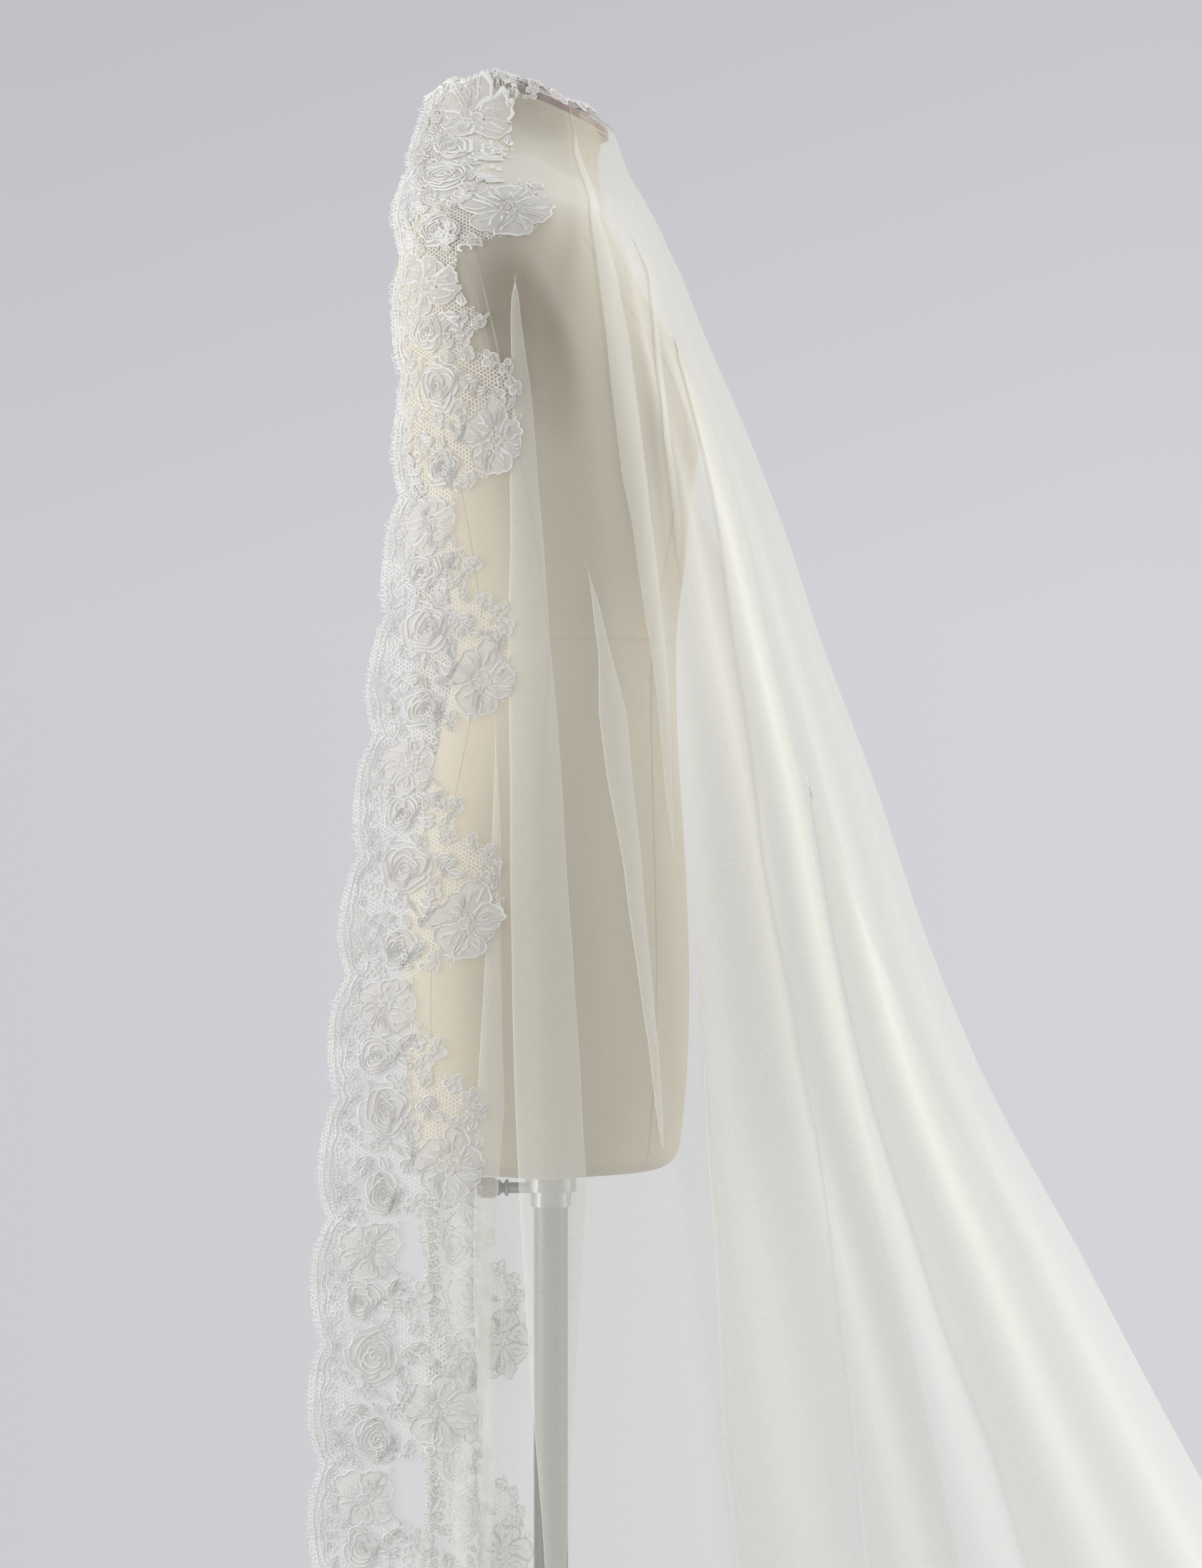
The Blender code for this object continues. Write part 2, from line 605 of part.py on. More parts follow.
def build_lace_side(side, name, rows, look, collection):
    sheet = Sheet()

    def corner(k, column):
        point, normal, along, distance = side.column(rows[k], column)
        wall = LACE_WALL + relief(side, along, distance)
        return sheet.add((k, column), point, normal, LACE_LIFT, wall)

    for k in range(1, len(rows) - 1):
        for left, right in zip(LACE_COLUMNS, LACE_COLUMNS[1:]):
            quad = [corner(k, left), corner(k + 1, left), corner(k + 1, right), corner(k, right)]
            sheet.face(*(quad if side.side < 0 else quad[::-1]))
    return sheet.closed(name, look, collection)


def build_lace_crown(sides, rows, look, collection):
    """Lace over the cap: rings that shrink to the front edge, and a skirt just over the rim."""
    near, far = sides
    sheet = Sheet()
    names = LACE_COLUMNS + OPEN_COLUMNS
    order = [(near, name) for name in names] + [(far, name) for name in reversed(names[:-1])]
    last = len(order) - 1

    def rim(k):
        side, name = order[k]
        point, normal = side.column(rows[0], name)[:2]
        return point, normal

    def rim_corner(k):
        point, normal = rim(k)
        return sheet.add(("rim", k), point, normal, LACE_LIFT, LACE_WALL)

    def skirt_corner(k):
        side, name = order[k]
        top, top_normal = rim(k)
        low, low_normal = side.column(rows[1], name)[:2]
        share = 1 - SEAT / np.linalg.norm(low - top)
        normal = top_normal + (low_normal - top_normal) * share
        normal /= np.linalg.norm(normal)
        return sheet.add(("skirt", k), top + (low - top) * share, normal, LACE_LIFT, LACE_WALL)

    def top_corner(ring_number, k):
        point = rim(k)[0]
        bend = SIDE_BEND
        if point[0] > DROOP_FROM_X + RIM_MARGIN:
            bend = (DROOP_FROM_X - FRONT_X) / (point[0] - FRONT_X)
        shares = [bend * part for part in BACK_RINGS] + [bend + (1 - bend) * part for part in CAP_RINGS]
        share = shares[ring_number]
        front_y = FRONT_HALF * (2 * k / last - 1)
        x = FRONT_X + (point[0] - FRONT_X) * share
        y = front_y + (point[1] - front_y) * share
        over = max(DROOP_FROM_X - x, 0.0)
        z = cap_plane(max(x, DROOP_FROM_X)) - FRONT_DROP * over
        up = np.array((CAP_SLOPE, 0.0, 1.0) if over == 0.0 else (-FRONT_DROP, 0.0, 1.0))
        up /= np.linalg.norm(up)
        return sheet.add(("top", ring_number, k), np.array((x, y, z)), up, SEAT, LACE_WALL)

    for k in range(last):
        sheet.face(rim_corner(k), skirt_corner(k), skirt_corner(k + 1), rim_corner(k + 1))
    spokes = [*range(0, last, CROWN_STRIDE), last]
    for left, right in zip(spokes, spokes[1:]):
        fine = [rim_corner(k) for k in range(left, right + 1)]
        outermost = len(BACK_RINGS) + len(CAP_RINGS) - 1
        sheet.stitch(top_corner(outermost, left), top_corner(outermost, right), fine)
        for inner in range(outermost):
            sheet.face(top_corner(inner, left), top_corner(inner + 1, left),
                       top_corner(inner + 1, right), top_corner(inner, right))
    return sheet.closed("lace_crown", look, collection)


def build():
    clear_scene()
    root = new_collection("bridal_veil", bpy.context.scene.collection)
    cutters = new_collection("cutters", bpy.context.scene.collection)
    linen = material("form_linen", (0.78, 0.70, 0.57), 0.85)
    wood = material("cap_wood", (0.20, 0.09, 0.045), 0.45)
    steel = material("stand_metal", (0.12, 0.11, 0.10), 0.35, 0.9)
    tulle = material("veil_tulle", (0.92, 0.90, 0.85), 0.7)
    lace = material("veil_lace", (0.90, 0.88, 0.83), 0.75)
    build_torso(linen, root)
    build_neck_cap(wood, root)
    build_collar(steel, root, cutters)
    build_clamp_screw(steel, wood, root)
    build_stand(steel, root)
    sides = (Side(-1), Side(1))
    rows = lace_rows(sides[0])
    wide = wide_rows(rows)
    landing = next(n for n, k in enumerate(wide) if rows[k] >= FLOOR_LEVEL)
    build_tulle("tulle_near_side", sides[:1], rows, wide[:landing + 1], tulle, root)
    build_tulle("tulle_far_side", sides[1:], rows, wide[:landing + 1], tulle, root)
    build_tulle("tulle_train", sides, rows, wide[landing:], tulle, root, on_floor=True)
    build_lace_side(sides[0], "lace_near_side", rows, lace, root)
    build_lace_side(sides[1], "lace_far_side", rows, lace, root)
    build_lace_crown(sides, rows, lace, root)


build()
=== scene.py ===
"""A lace-edged bridal veil laid over the neck of a limbless dress form on a round-based stand.

Metres, +Z up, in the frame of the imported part. The form faces +X and the photograph looks along +Y.
"""

import math

import bmesh
import bpy
import numpy as np
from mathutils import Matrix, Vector


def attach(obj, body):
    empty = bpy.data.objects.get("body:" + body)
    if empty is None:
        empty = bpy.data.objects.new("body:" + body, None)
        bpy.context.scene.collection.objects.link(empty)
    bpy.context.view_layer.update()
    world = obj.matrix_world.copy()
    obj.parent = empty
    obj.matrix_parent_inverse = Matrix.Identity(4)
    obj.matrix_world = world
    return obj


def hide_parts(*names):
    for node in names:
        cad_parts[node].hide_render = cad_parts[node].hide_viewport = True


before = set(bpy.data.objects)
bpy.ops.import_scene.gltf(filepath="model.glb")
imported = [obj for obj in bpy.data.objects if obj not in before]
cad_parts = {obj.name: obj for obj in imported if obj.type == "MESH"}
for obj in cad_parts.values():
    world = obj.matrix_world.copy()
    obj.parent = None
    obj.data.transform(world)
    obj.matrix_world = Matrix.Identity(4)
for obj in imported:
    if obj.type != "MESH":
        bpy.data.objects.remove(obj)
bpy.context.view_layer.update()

# Base and column of the stand.
# Cast and drawn steel under a dark satin lacquer; the column is pressed into the base's hub.
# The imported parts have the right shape, so they stay and get the lacquer.
STEEL_DARK = (0.095, 0.090, 0.085)
STEEL_WORN = (0.135, 0.128, 0.12)


def finish(name, color, roughness, metallic=0.0):
    """A new material, its node tree and its shader."""
    made = bpy.data.materials.new(name)
    made.use_nodes = True
    shader = made.node_tree.nodes["Principled BSDF"]
    shader.inputs["Base Color"].default_value = (*color, 1.0)
    shader.inputs["Roughness"].default_value = roughness
    shader.inputs["Metallic"].default_value = metallic
    return made, made.node_tree, shader


def effect_group(name, inputs, outputs):
    """A new shader node group with its named sockets: name, kind and, for an input, its usual value."""
    group = bpy.data.node_groups.new(name, "ShaderNodeTree")
    for label, kind, value in inputs:
        socket = group.interface.new_socket(name=label, in_out="INPUT", socket_type="NodeSocket" + kind)
        if value is not None:
            socket.default_value = value
    for label, kind in outputs:
        group.interface.new_socket(name=label, in_out="OUTPUT", socket_type="NodeSocket" + kind)
    return group, group.nodes.new("NodeGroupInput"), group.nodes.new("NodeGroupOutput")


def map_range(tree, source, start, end, low=0.0, high=1.0):
    """A value that goes from low to high as the source goes from start to end."""
    node = tree.nodes.new("ShaderNodeMapRange")
    tree.links.new(source, node.inputs["Value"])
    for socket, value in (("From Min", start), ("From Max", end), ("To Min", low), ("To Max", high)):
        if isinstance(value, float):
            node.inputs[socket].default_value = value
        else:
            tree.links.new(value, node.inputs[socket])
    return node.outputs["Result"]


def grain_group():
    """Two-tone grain with a height, for cloth, thread, wood and lacquer alike."""
    group, inside, outside = effect_group(
        "grain",
        (("Vector", "Vector", None), ("Scale", "Float", 300.0), ("Light", "Color", (0.8, 0.8, 0.8, 1.0)),
         ("Dark", "Color", (0.5, 0.5, 0.5, 1.0)), ("Cloudiness", "Float", 0.5)),
        (("Color", "Color"), ("Height", "Float")))
    nodes, links = group.nodes, group.links
    fine = nodes.new("ShaderNodeTexNoise")
    fine.inputs["Detail"].default_value = 3.0
    links.new(inside.outputs["Vector"], fine.inputs["Vector"])
    links.new(inside.outputs["Scale"], fine.inputs["Scale"])
    cloud = nodes.new("ShaderNodeTexNoise")
    cloud.inputs["Scale"].default_value = 9.0
    cloud.inputs["Detail"].default_value = 2.0
    links.new(inside.outputs["Vector"], cloud.inputs["Vector"])
    blend = nodes.new("ShaderNodeMix")
    blend.data_type = "FLOAT"
    links.new(inside.outputs["Cloudiness"], blend.inputs[0])
    links.new(fine.outputs["Fac"], blend.inputs[2])
    links.new(cloud.outputs["Fac"], blend.inputs[3])
    color = nodes.new("ShaderNodeMix")
    color.data_type = "RGBA"
    links.new(map_range(group, blend.outputs[0], 0.32, 0.68), color.inputs[0])
    links.new(inside.outputs["Dark"], color.inputs[6])
    links.new(inside.outputs["Light"], color.inputs[7])
    links.new(color.outputs[2], outside.inputs["Color"])
    links.new(fine.outputs["Fac"], outside.inputs["Height"])
    return group


GRAIN = grain_group()


def add_grain(tree, shader, light, dark, scale, cloudiness, depth, stretch=(1.0, 1.0, 1.0)):
    """Puts the grain on a shader's colour and, as a bump of that depth in metres, on its normal."""
    place = tree.nodes.new("ShaderNodeTexCoord")
    turn = tree.nodes.new("ShaderNodeMapping")
    turn.inputs["Scale"].default_value = stretch
    grain = tree.nodes.new("ShaderNodeGroup")
    grain.node_tree = GRAIN
    grain.inputs["Scale"].default_value = scale
    grain.inputs["Light"].default_value = (*light, 1.0)
    grain.inputs["Dark"].default_value = (*dark, 1.0)
    grain.inputs["Cloudiness"].default_value = cloudiness
    bump = tree.nodes.new("ShaderNodeBump")
    bump.inputs["Distance"].default_value = depth
    tree.links.new(place.outputs["Object"], turn.inputs["Vector"])
    tree.links.new(turn.outputs["Vector"], grain.inputs["Vector"])
    tree.links.new(grain.outputs["Color"], shader.inputs["Base Color"])
    tree.links.new(grain.outputs["Height"], bump.inputs["Height"])
    tree.links.new(bump.outputs["Normal"], shader.inputs["Normal"])
    return grain


def dress_node(name, look):
    """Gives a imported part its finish."""
    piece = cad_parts[name]
    piece.data.materials.clear()
    piece.data.materials.append(look)


steel, tree, shader = finish("stand_steel", STEEL_DARK, 0.32, 0.85)
add_grain(tree, shader, STEEL_WORN, STEEL_DARK, 700.0, 0.35, 0.00004, (1.0, 1.0, 0.15))
for part_name in ("base", "column"):
    dress_node(part_name, steel)

# Collar and clamp under the form.
# A turned steel sleeve slides on the column, and a screw with a turned wooden knob clamps it.
# The sleeve is a little lighter than the column from handling.
COLLAR_STEEL = (0.30, 0.29, 0.28)
COLLAR_WORN = (0.38, 0.37, 0.36)
KNOB_BROWN = (0.085, 0.030, 0.018)
KNOB_LIGHT = (0.16, 0.065, 0.035)

bright, tree, shader = finish("collar_steel", COLLAR_STEEL, 0.30, 0.9)
add_grain(tree, shader, COLLAR_WORN, COLLAR_STEEL, 900.0, 0.3, 0.00003)
for part_name in ("collar", "clamp_screw"):
    dress_node(part_name, bright)

knob_wood, tree, shader = finish("knob_wood", KNOB_BROWN, 0.30)
shader.inputs["Coat Weight"].default_value = 0.5
add_grain(tree, shader, KNOB_LIGHT, KNOB_BROWN, 260.0, 0.3, 0.00005, (0.15, 1.0, 1.0))
dress_node("clamp_knob", knob_wood)

# Body of the dress form.
# Papier-mache shell under a stretched cream linen cover; it has no arms, legs or head. A shallow
# plate closes each armhole, and the linen is drawn in over the neck, under the cap.
# Each row is a height, and the body's back, front and half width there.
BODY_ROWS = (
    (0.6975, -0.099, 0.092, 0.150),
    (0.703, -0.1065, 0.0995, 0.1595),
    (0.715, -0.110, 0.1035, 0.163),
    (0.770, -0.117, 0.109, 0.168),
    (0.845, -0.120, 0.111, 0.169),
    (0.915, -0.114, 0.109, 0.165),
    (0.955, -0.1085, 0.107, 0.158),
    (1.000, -0.098, 0.104, 0.148),
    (1.058, -0.085, 0.101, 0.130),
    (1.113, -0.0755, 0.1005, 0.116),
    (1.145, -0.079, 0.103, 0.117),
    (1.189, -0.088, 0.110, 0.126),
    (1.243, -0.101, 0.114, 0.139),
    (1.289, -0.1185, 0.1185, 0.150),
    (1.338, -0.1215, 0.1075, 0.158),
    (1.369, -0.1230, 0.0905, 0.165),
    (1.401, -0.1240, 0.0715, 0.177),
    (1.423, -0.1225, 0.060, 0.186),
    (1.438, -0.1175, 0.053, 0.184),
    (1.452, -0.109, 0.047, 0.168),
    (1.466, -0.092, 0.043, 0.140),
    (1.480, -0.074, 0.040, 0.106),
    (1.494, -0.060, 0.038, 0.074),
    (1.509, -0.0505, 0.0385, 0.056),
    (1.520, -0.0485, 0.0400, 0.0525),
)
BODY_STEPS = 120
BODY_SIDES = 144
BODY_HEM_INSET = 0.07
BODY_HEM_DOME = 0.0075
BODY_SQUARENESS = 2.25
BUST_Z = 1.285
BUST_HEIGHT = 0.075
BUST_Y = 0.066
BUST_WIDTH = 0.036
BUST_RISE = 0.009
BUST_HOLLOW = 0.010
BUST_HOLLOW_WIDTH = 0.030
ARM_X = -0.015
ARM_Z = 1.345
ARM_HALF_X = 0.0345
ARM_HALF_Z = 0.085
ARM_LEAN = 0.30
ARM_LEAST_Y = 0.08
ARM_HOLLOW = 0.005
# Painted shade: the colour the linen is multiplied by over each armhole.
ARM_PAINTED_SHADE = (0.49, 0.39, 0.24)
CAP_SLOPE = 0.4457
CAP_TOP_Z = 1.550
CAP_HALF_X = 0.0465
CAP_HALF_Y = 0.0525
NECK_DROP = 0.0058
NECK_OVER_CAP = 1.012
LINEN_LIGHT = (0.515, 0.455, 0.345)
LINEN_DARK = (0.46, 0.398, 0.290)


def read_rows(table, place):
    """A table's values at row numbers with fractions, on a smooth curve through its rows."""
    table = np.asarray(table, dtype=float)
    last = len(table) - 1
    place = np.clip(np.asarray(place, dtype=float), 0.0, last)
    low = np.minimum(place.astype(int), last - 1)
    part = (place - low)[..., None]
    before, start, end, after = (table[np.clip(low + k, 0, last)] for k in (-1, 0, 1, 2))
    return ((1 + 2 * part) * (1 - part) ** 2 * start + part * (1 - part) ** 2 * (end - before) / 2
            + part ** 2 * (3 - 2 * part) * end + part ** 2 * (part - 1) * (after - start) / 2)


def body_points(turn, place):
    """Points of the body's surface: turn is the angle round it from the front, place the row."""
    z, back, front, half = np.moveaxis(read_rows(BODY_ROWS, place), -1, 0)
    power = 2 / BODY_SQUARENESS
    cos, sin = np.cos(turn), np.sin(turn)
    x = (front + back) / 2 + (front - back) / 2 * np.sign(cos) * np.abs(cos) ** power
    y = half * np.sign(sin) * np.abs(sin) ** power
    bust = np.exp(-((z - BUST_Z) / BUST_HEIGHT) ** 2) * np.maximum(cos, 0.0) ** 0.5
    x = x + bust * (BUST_RISE * np.exp(-((np.abs(y) - BUST_Y) / BUST_WIDTH) ** 2)
                    - BUST_HOLLOW * np.exp(-(y / BUST_HOLLOW_WIDTH) ** 2))
    return np.stack(np.broadcast_arrays(x, y, z), axis=-1)


def piece_from(shape, name, look):
    """Makes a bmesh a named piece that rides on the stand, with a finish."""
    mesh = bpy.data.meshes.new(name)
    shape.to_mesh(mesh)
    shape.free()
    mesh.materials.append(look)
    mesh.shade_smooth()
    piece = bpy.data.objects.new(name, mesh)
    bpy.context.scene.collection.objects.link(piece)
    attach(piece, "stand")
    return piece


def flat_grid(shape, across, along):
    """Adds a grid to a bmesh and gives its corners' shares, 0 to 1, each way."""
    verts = bmesh.ops.create_grid(shape, x_segments=across, y_segments=along, size=0.5)["verts"]
    shares = np.array([vert.co[:2] for vert in verts]) + 0.5
    return verts, shares[:, 0], shares[:, 1]


def move_to(verts, points):
    """Moves each corner of a piece to its place."""
    for vert, point in zip(verts, points):
        vert.co = point


def armhole(points):
    """How far inside the armhole a point of the body is: 1 in the middle of the shallow dent that closes it,
    0 on its rim.
    """
    middle = ARM_X + ARM_LEAN * (ARM_Z - points[:, 2])
    inside = 1 - np.hypot((points[:, 0] - middle) / ARM_HALF_X, (points[:, 2] - ARM_Z) / ARM_HALF_Z) ** 2
    return np.clip(inside, 0.0, 1.0) * (np.abs(points[:, 1]) > ARM_LEAST_Y)


linen, tree, shader = finish("cream_linen", LINEN_LIGHT, 0.85)
shader.inputs["Sheen Weight"].default_value = 0.15
shader.inputs["Sheen Roughness"].default_value = 0.5
grain = add_grain(tree, shader, LINEN_LIGHT, LINEN_DARK, 900.0, 0.45, 0.00012, (1.0, 1.0, 0.35))
# Painted shade: a per-corner attribute of the body darkens the linen over each armhole and its side, standing
# in for the shade under the shoulder lace and where the side turns from the lights.
armhole_painted_shade = tree.nodes.new("ShaderNodeAttribute")
armhole_painted_shade.attribute_name = "armhole_painted_shade"
tone = tree.nodes.new("ShaderNodeMix")
tone.data_type = "RGBA"
tone.blend_type = "MULTIPLY"
tone.inputs[7].default_value = (*ARM_PAINTED_SHADE, 1.0)
tree.links.new(armhole_painted_shade.outputs["Fac"], tone.inputs[0])
tree.links.new(grain.outputs["Color"], tone.inputs[6])
tree.links.new(tone.outputs[2], shader.inputs["Base Color"])

shape = bmesh.new()
painted_shade_layer = shape.verts.layers.float.new("armhole_painted_shade")
verts, share_round, share_up = flat_grid(shape, BODY_SIDES, BODY_STEPS)
last_row = len(BODY_ROWS) - 1
neck_from = last_row / (last_row + 1.5)
points = body_points(2 * math.pi * share_round, np.minimum(share_up / neck_from, 1.0) * last_row)
neck = np.clip((share_up - neck_from) / (1 - neck_from), 0.0, 1.0)
angle = 2 * math.pi * share_round
rim_x = NECK_OVER_CAP * CAP_HALF_X * np.cos(angle)
rim_y = NECK_OVER_CAP * CAP_HALF_Y * np.sin(angle)
rim = np.stack((rim_x, rim_y, CAP_TOP_Z - CAP_SLOPE * rim_x - NECK_DROP), axis=-1)
points = points + (rim - points) * neck[:, None]
inside = armhole(points)
depth = ARM_HOLLOW * np.minimum(inside * 3.0, 1.0) * inside ** 0.3
points[:, 1] -= np.sign(points[:, 1]) * depth
move_to(verts, points)
# Painted shade: full darkening in the armhole's middle, weaker below 1.36 m and down to 0.4 of it at 1.24 m.
shade = np.minimum(inside * 1.8, 1.0) * np.clip((points[:, 2] - 1.24) / 0.12, 0.4, 1.0)
for vert, share in zip(verts, shade):
    vert[painted_shade_layer] = share
bmesh.ops.remove_doubles(shape, verts=shape.verts, dist=0.00001)
ends = [edge for edge in shape.edges if edge.is_boundary]
bmesh.ops.holes_fill(shape, edges=ends, sides=0)
caps = [face for face in shape.faces if len(face.verts) > 4]
bmesh.ops.inset_individual(shape, faces=caps, thickness=BODY_HEM_INSET)
for face in caps:
    if face.calc_center_median().z < 1.0:
        bmesh.ops.translate(shape, verts=face.verts, vec=(0.0, 0.0, -BODY_HEM_DOME))
bmesh.ops.recalc_face_normals(shape, faces=shape.faces)
form_body = piece_from(shape, "form_body", linen)
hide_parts("torso")

# Seams of the form's cover.
# Where two panels of the linen meet, the cloth is turned in and sewn, which leaves a fine welt.
# Each seam's table gives its angle from the front, in degrees, at five row numbers of the body.
SEAM_ROWS = (0.0, 4.0, 9.0, 13.0, 17.5)
SEAM_ANGLES = {
    "front": (0, 0, 0, 0, 0),
    "princess_front": (44, 42, 41, 32, 52),
    "side": (90, 90, 97, 104, 104),
    "princess_back": (138, 138, 136, 134, 128),
    "back": (180, 180, 180, 180, 180),
}
SEAM_HALF = 0.0009
SEAM_HEIGHT = 0.00035
SEAM_STEPS = 90
WAIST_ROW = 9.1
NECK_ROW = 22.4
ARM_SEAM_Z = (1.322, 1.408)
ARM_SEAM_X = (-0.0415, -0.0630)

seam_linen, tree, shader = finish("seam_linen", (0.50, 0.44, 0.34), 0.9)
add_grain(tree, shader, (0.54, 0.48, 0.37), (0.43, 0.37, 0.28), 1500.0, 0.2, 0.0001)


def seam_strip(shape, turns, places):
    """A welt along a line of angles and rows on the body."""
    line = body_points(turns, places)
    beside = body_points(turns + 0.002, places) - line
    above = body_points(turns, places + 0.01) - line
    out = np.cross(beside, above)
    out /= np.linalg.norm(out, axis=1)[:, None]
    run = np.gradient(line, axis=0)
    across = np.cross(out, run)
    across /= np.linalg.norm(across, axis=1)[:, None]
    verts, share, step = flat_grid(shape, 4, len(line) - 1)
    number = np.rint(step * (len(line) - 1)).astype(int)
    profile = np.array((0.0, 1.0, 0.35, 1.0, 0.0))[np.rint(share * 4).astype(int)]
    offset = (share - 0.5) * 2 * SEAM_HALF
    move_to(verts, line[number] + across[number] * offset[:, None]
            + out[number] * (0.0001 + SEAM_HEIGHT * profile)[:, None])


shape = bmesh.new()
up = np.linspace(0.6, 17.5, SEAM_STEPS)
for name, angles in SEAM_ANGLES.items():
    turns = np.radians(np.interp(up, SEAM_ROWS, angles))
    seam_strip(shape, turns, up)
    if name not in ("front", "back"):
        seam_strip(shape, -turns, up)
around = np.linspace(0, 2 * math.pi, SEAM_STEPS + 1)
seam_strip(shape, around, np.full_like(around, WAIST_ROW))
seam_strip(shape, around, NECK_ROW - 1.2 * np.cos(around))
arm_z = np.linspace(*ARM_SEAM_Z, 16)
arm_x = np.interp(arm_z, ARM_SEAM_Z, ARM_SEAM_X)
rows_up = np.linspace(0, last_row, 500)
arm_rows = np.interp(arm_z, read_rows(BODY_ROWS, rows_up)[:, 0], rows_up)
arm_turns = []
for x, row in zip(arm_x, arm_rows):
    about = np.linspace(1.2, 2.6, 300)
    arm_turns.append(np.interp(-x, -body_points(about, np.full_like(about, row))[:, 0], about))
for side in (-1, 1):
    seam_strip(shape, side * np.array(arm_turns), arm_rows)
bmesh.ops.recalc_face_normals(shape, faces=shape.faces)
piece_from(shape, "form_seams", seam_linen)

# Neck cap.
# A thin turned plate of dark varnished wood closes the neck; it is screwed on from below.
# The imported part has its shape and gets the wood's grain.
CAP_BROWN = (0.15, 0.062, 0.038)
CAP_LIGHT = (0.25, 0.115, 0.075)

cap_wood, tree, shader = finish("cap_varnished_wood", CAP_BROWN, 0.35)
shader.inputs["Coat Weight"].default_value = 0.4
shader.inputs["Coat Roughness"].default_value = 0.2
add_grain(tree, shader, CAP_LIGHT, CAP_BROWN, 180.0, 0.3, 0.00006, (0.12, 1.0, 1.0))
dress_node("neck_cap", cap_wood)

# Tulle panel of the veil.
# One wide length of soft ivory silk tulle, cut round at its end and laid over the neck. It falls in
# soft folds from the neck and shoulders to the floor and trails in front of the form.

# Each row is a level: its height, how it tilts and droops, both outer edges, how far round the back
# they reach, its middle, its front ridge, its half width, its first fold, the depth of its folds,
# and how far it lies on the floor.
LEVEL_COLUMNS = ("z", "tilt", "droop", "near_x", "far_x", "wrap", "centre_x", "nose_x", "half_width",
                 "fold_x", "wave", "lie")
LEVEL_ROWS = (
    (1.550, 0.4457, 0.85, -0.104, -0.104, 150, 0.000, 0.0515, 0.0580, 0.016, 0.0000, 0),
    (1.533, 0.42, 0.50, -0.106, -0.106, 150, -0.004, 0.0570, 0.0615, 0.015, 0.0004, 0),
    (1.513, 0.34, 0.20, -0.106, -0.106, 148, -0.008, 0.0640, 0.0720, 0.013, 0.0008, 0),
    (1.493, 0.25, 0, -0.110, -0.108, 146, -0.014, 0.0735, 0.0985, 0.010, 0.0015, 0),
    (1.474, 0.15, 0, -0.118, -0.114, 144, -0.020, 0.0800, 0.1375, 0.007, 0.0020, 0),
    (1.456, 0.08, 0, -0.1220, -0.120, 142, -0.026, 0.0865, 0.1740, 0.004, 0.0025, 0),
    (1.438, 0.04, 0, -0.1230, -0.124, 140, -0.030, 0.0925, 0.1930, 0.000, 0.0030, 0),
    (1.410, 0, 0, -0.1225, -0.126, 138, -0.030, 0.1035, 0.2010, -0.012, 0.0040, 0),
    (1.360, 0, 0, -0.1240, -0.126, 136, -0.026, 0.1220, 0.2040, -0.020, 0.0060, 0),
    (1.285, 0, 0, -0.1220, -0.122, 134, -0.018, 0.1530, 0.2060, -0.018, 0.0085, 0),
    (1.200, 0, 0, -0.1280, -0.118, 132, -0.008, 0.1845, 0.2090, -0.016, 0.0105, 0),
    (1.116, 0, 0, -0.1390, -0.118, 130, 0.000, 0.2110, 0.2130, -0.014, 0.0125, 0),
    (1.000, 0, 0, -0.1510, -0.118, 128, 0.012, 0.2530, 0.2200, -0.008, 0.0150, 0),
    (0.880, 0, 0, -0.1650, -0.118, 126, 0.025, 0.2920, 0.2290, -0.002, 0.0170, 0),
    (0.760, 0, 0, -0.1750, -0.116, 124, 0.040, 0.3410, 0.2390, 0.002, 0.0190, 0),
    (0.626, 0, 0, -0.1840, -0.114, 122, 0.058, 0.4137, 0.2500, 0.003, 0.0210, 0),
    (0.500, 0, 0, -0.1860, -0.113, 121, 0.075, 0.4790, 0.2620, 0.002, 0.0230, 0),
    (0.370, 0, 0, -0.1840, -0.113, 120, 0.095, 0.5520, 0.2750, 0.001, 0.0245, 0),
    (0.240, 0, 0, -0.1860, -0.114, 119, 0.120, 0.6390, 0.2890, 0.000, 0.0250, 0),
    (0.120, 0, 0, -0.1910, -0.117, 118, 0.150, 0.7300, 0.3030, 0.000, 0.0245, 0),
    (0.045, 0, 0, -0.1980, -0.123, 118, 0.175, 0.8020, 0.3150, 0.000, 0.0220, 0.25),
    (0.008, 0, 0, -0.2100, -0.132, 118, 0.200, 0.8750, 0.3320, 0.000, 0.0150, 0.80),
    (0.000, 0, 0, -0.232, -0.147, 118, 0.230, 0.9900, 0.3600, 0.000, 0.0110, 1),
    (0.000, 0, 0, -0.250, -0.164, 118, 0.260, 1.1300, 0.4000, 0.000, 0.0090, 1),
    (0.000, 0, 0, -0.268, -0.181, 118, 0.290, 1.2800, 0.4450, 0.000, 0.0070, 1),
    (0.000, 0, 0, -0.286, -0.198, 118, 0.320, 1.4300, 0.4950, 0.000, 0.0050, 1),
)
LAST_LEVEL = len(LEVEL_ROWS) - 1
FLOOR_LEVEL = 21
DROOP_FROM_X = -0.050
RING_SAMPLES = 900

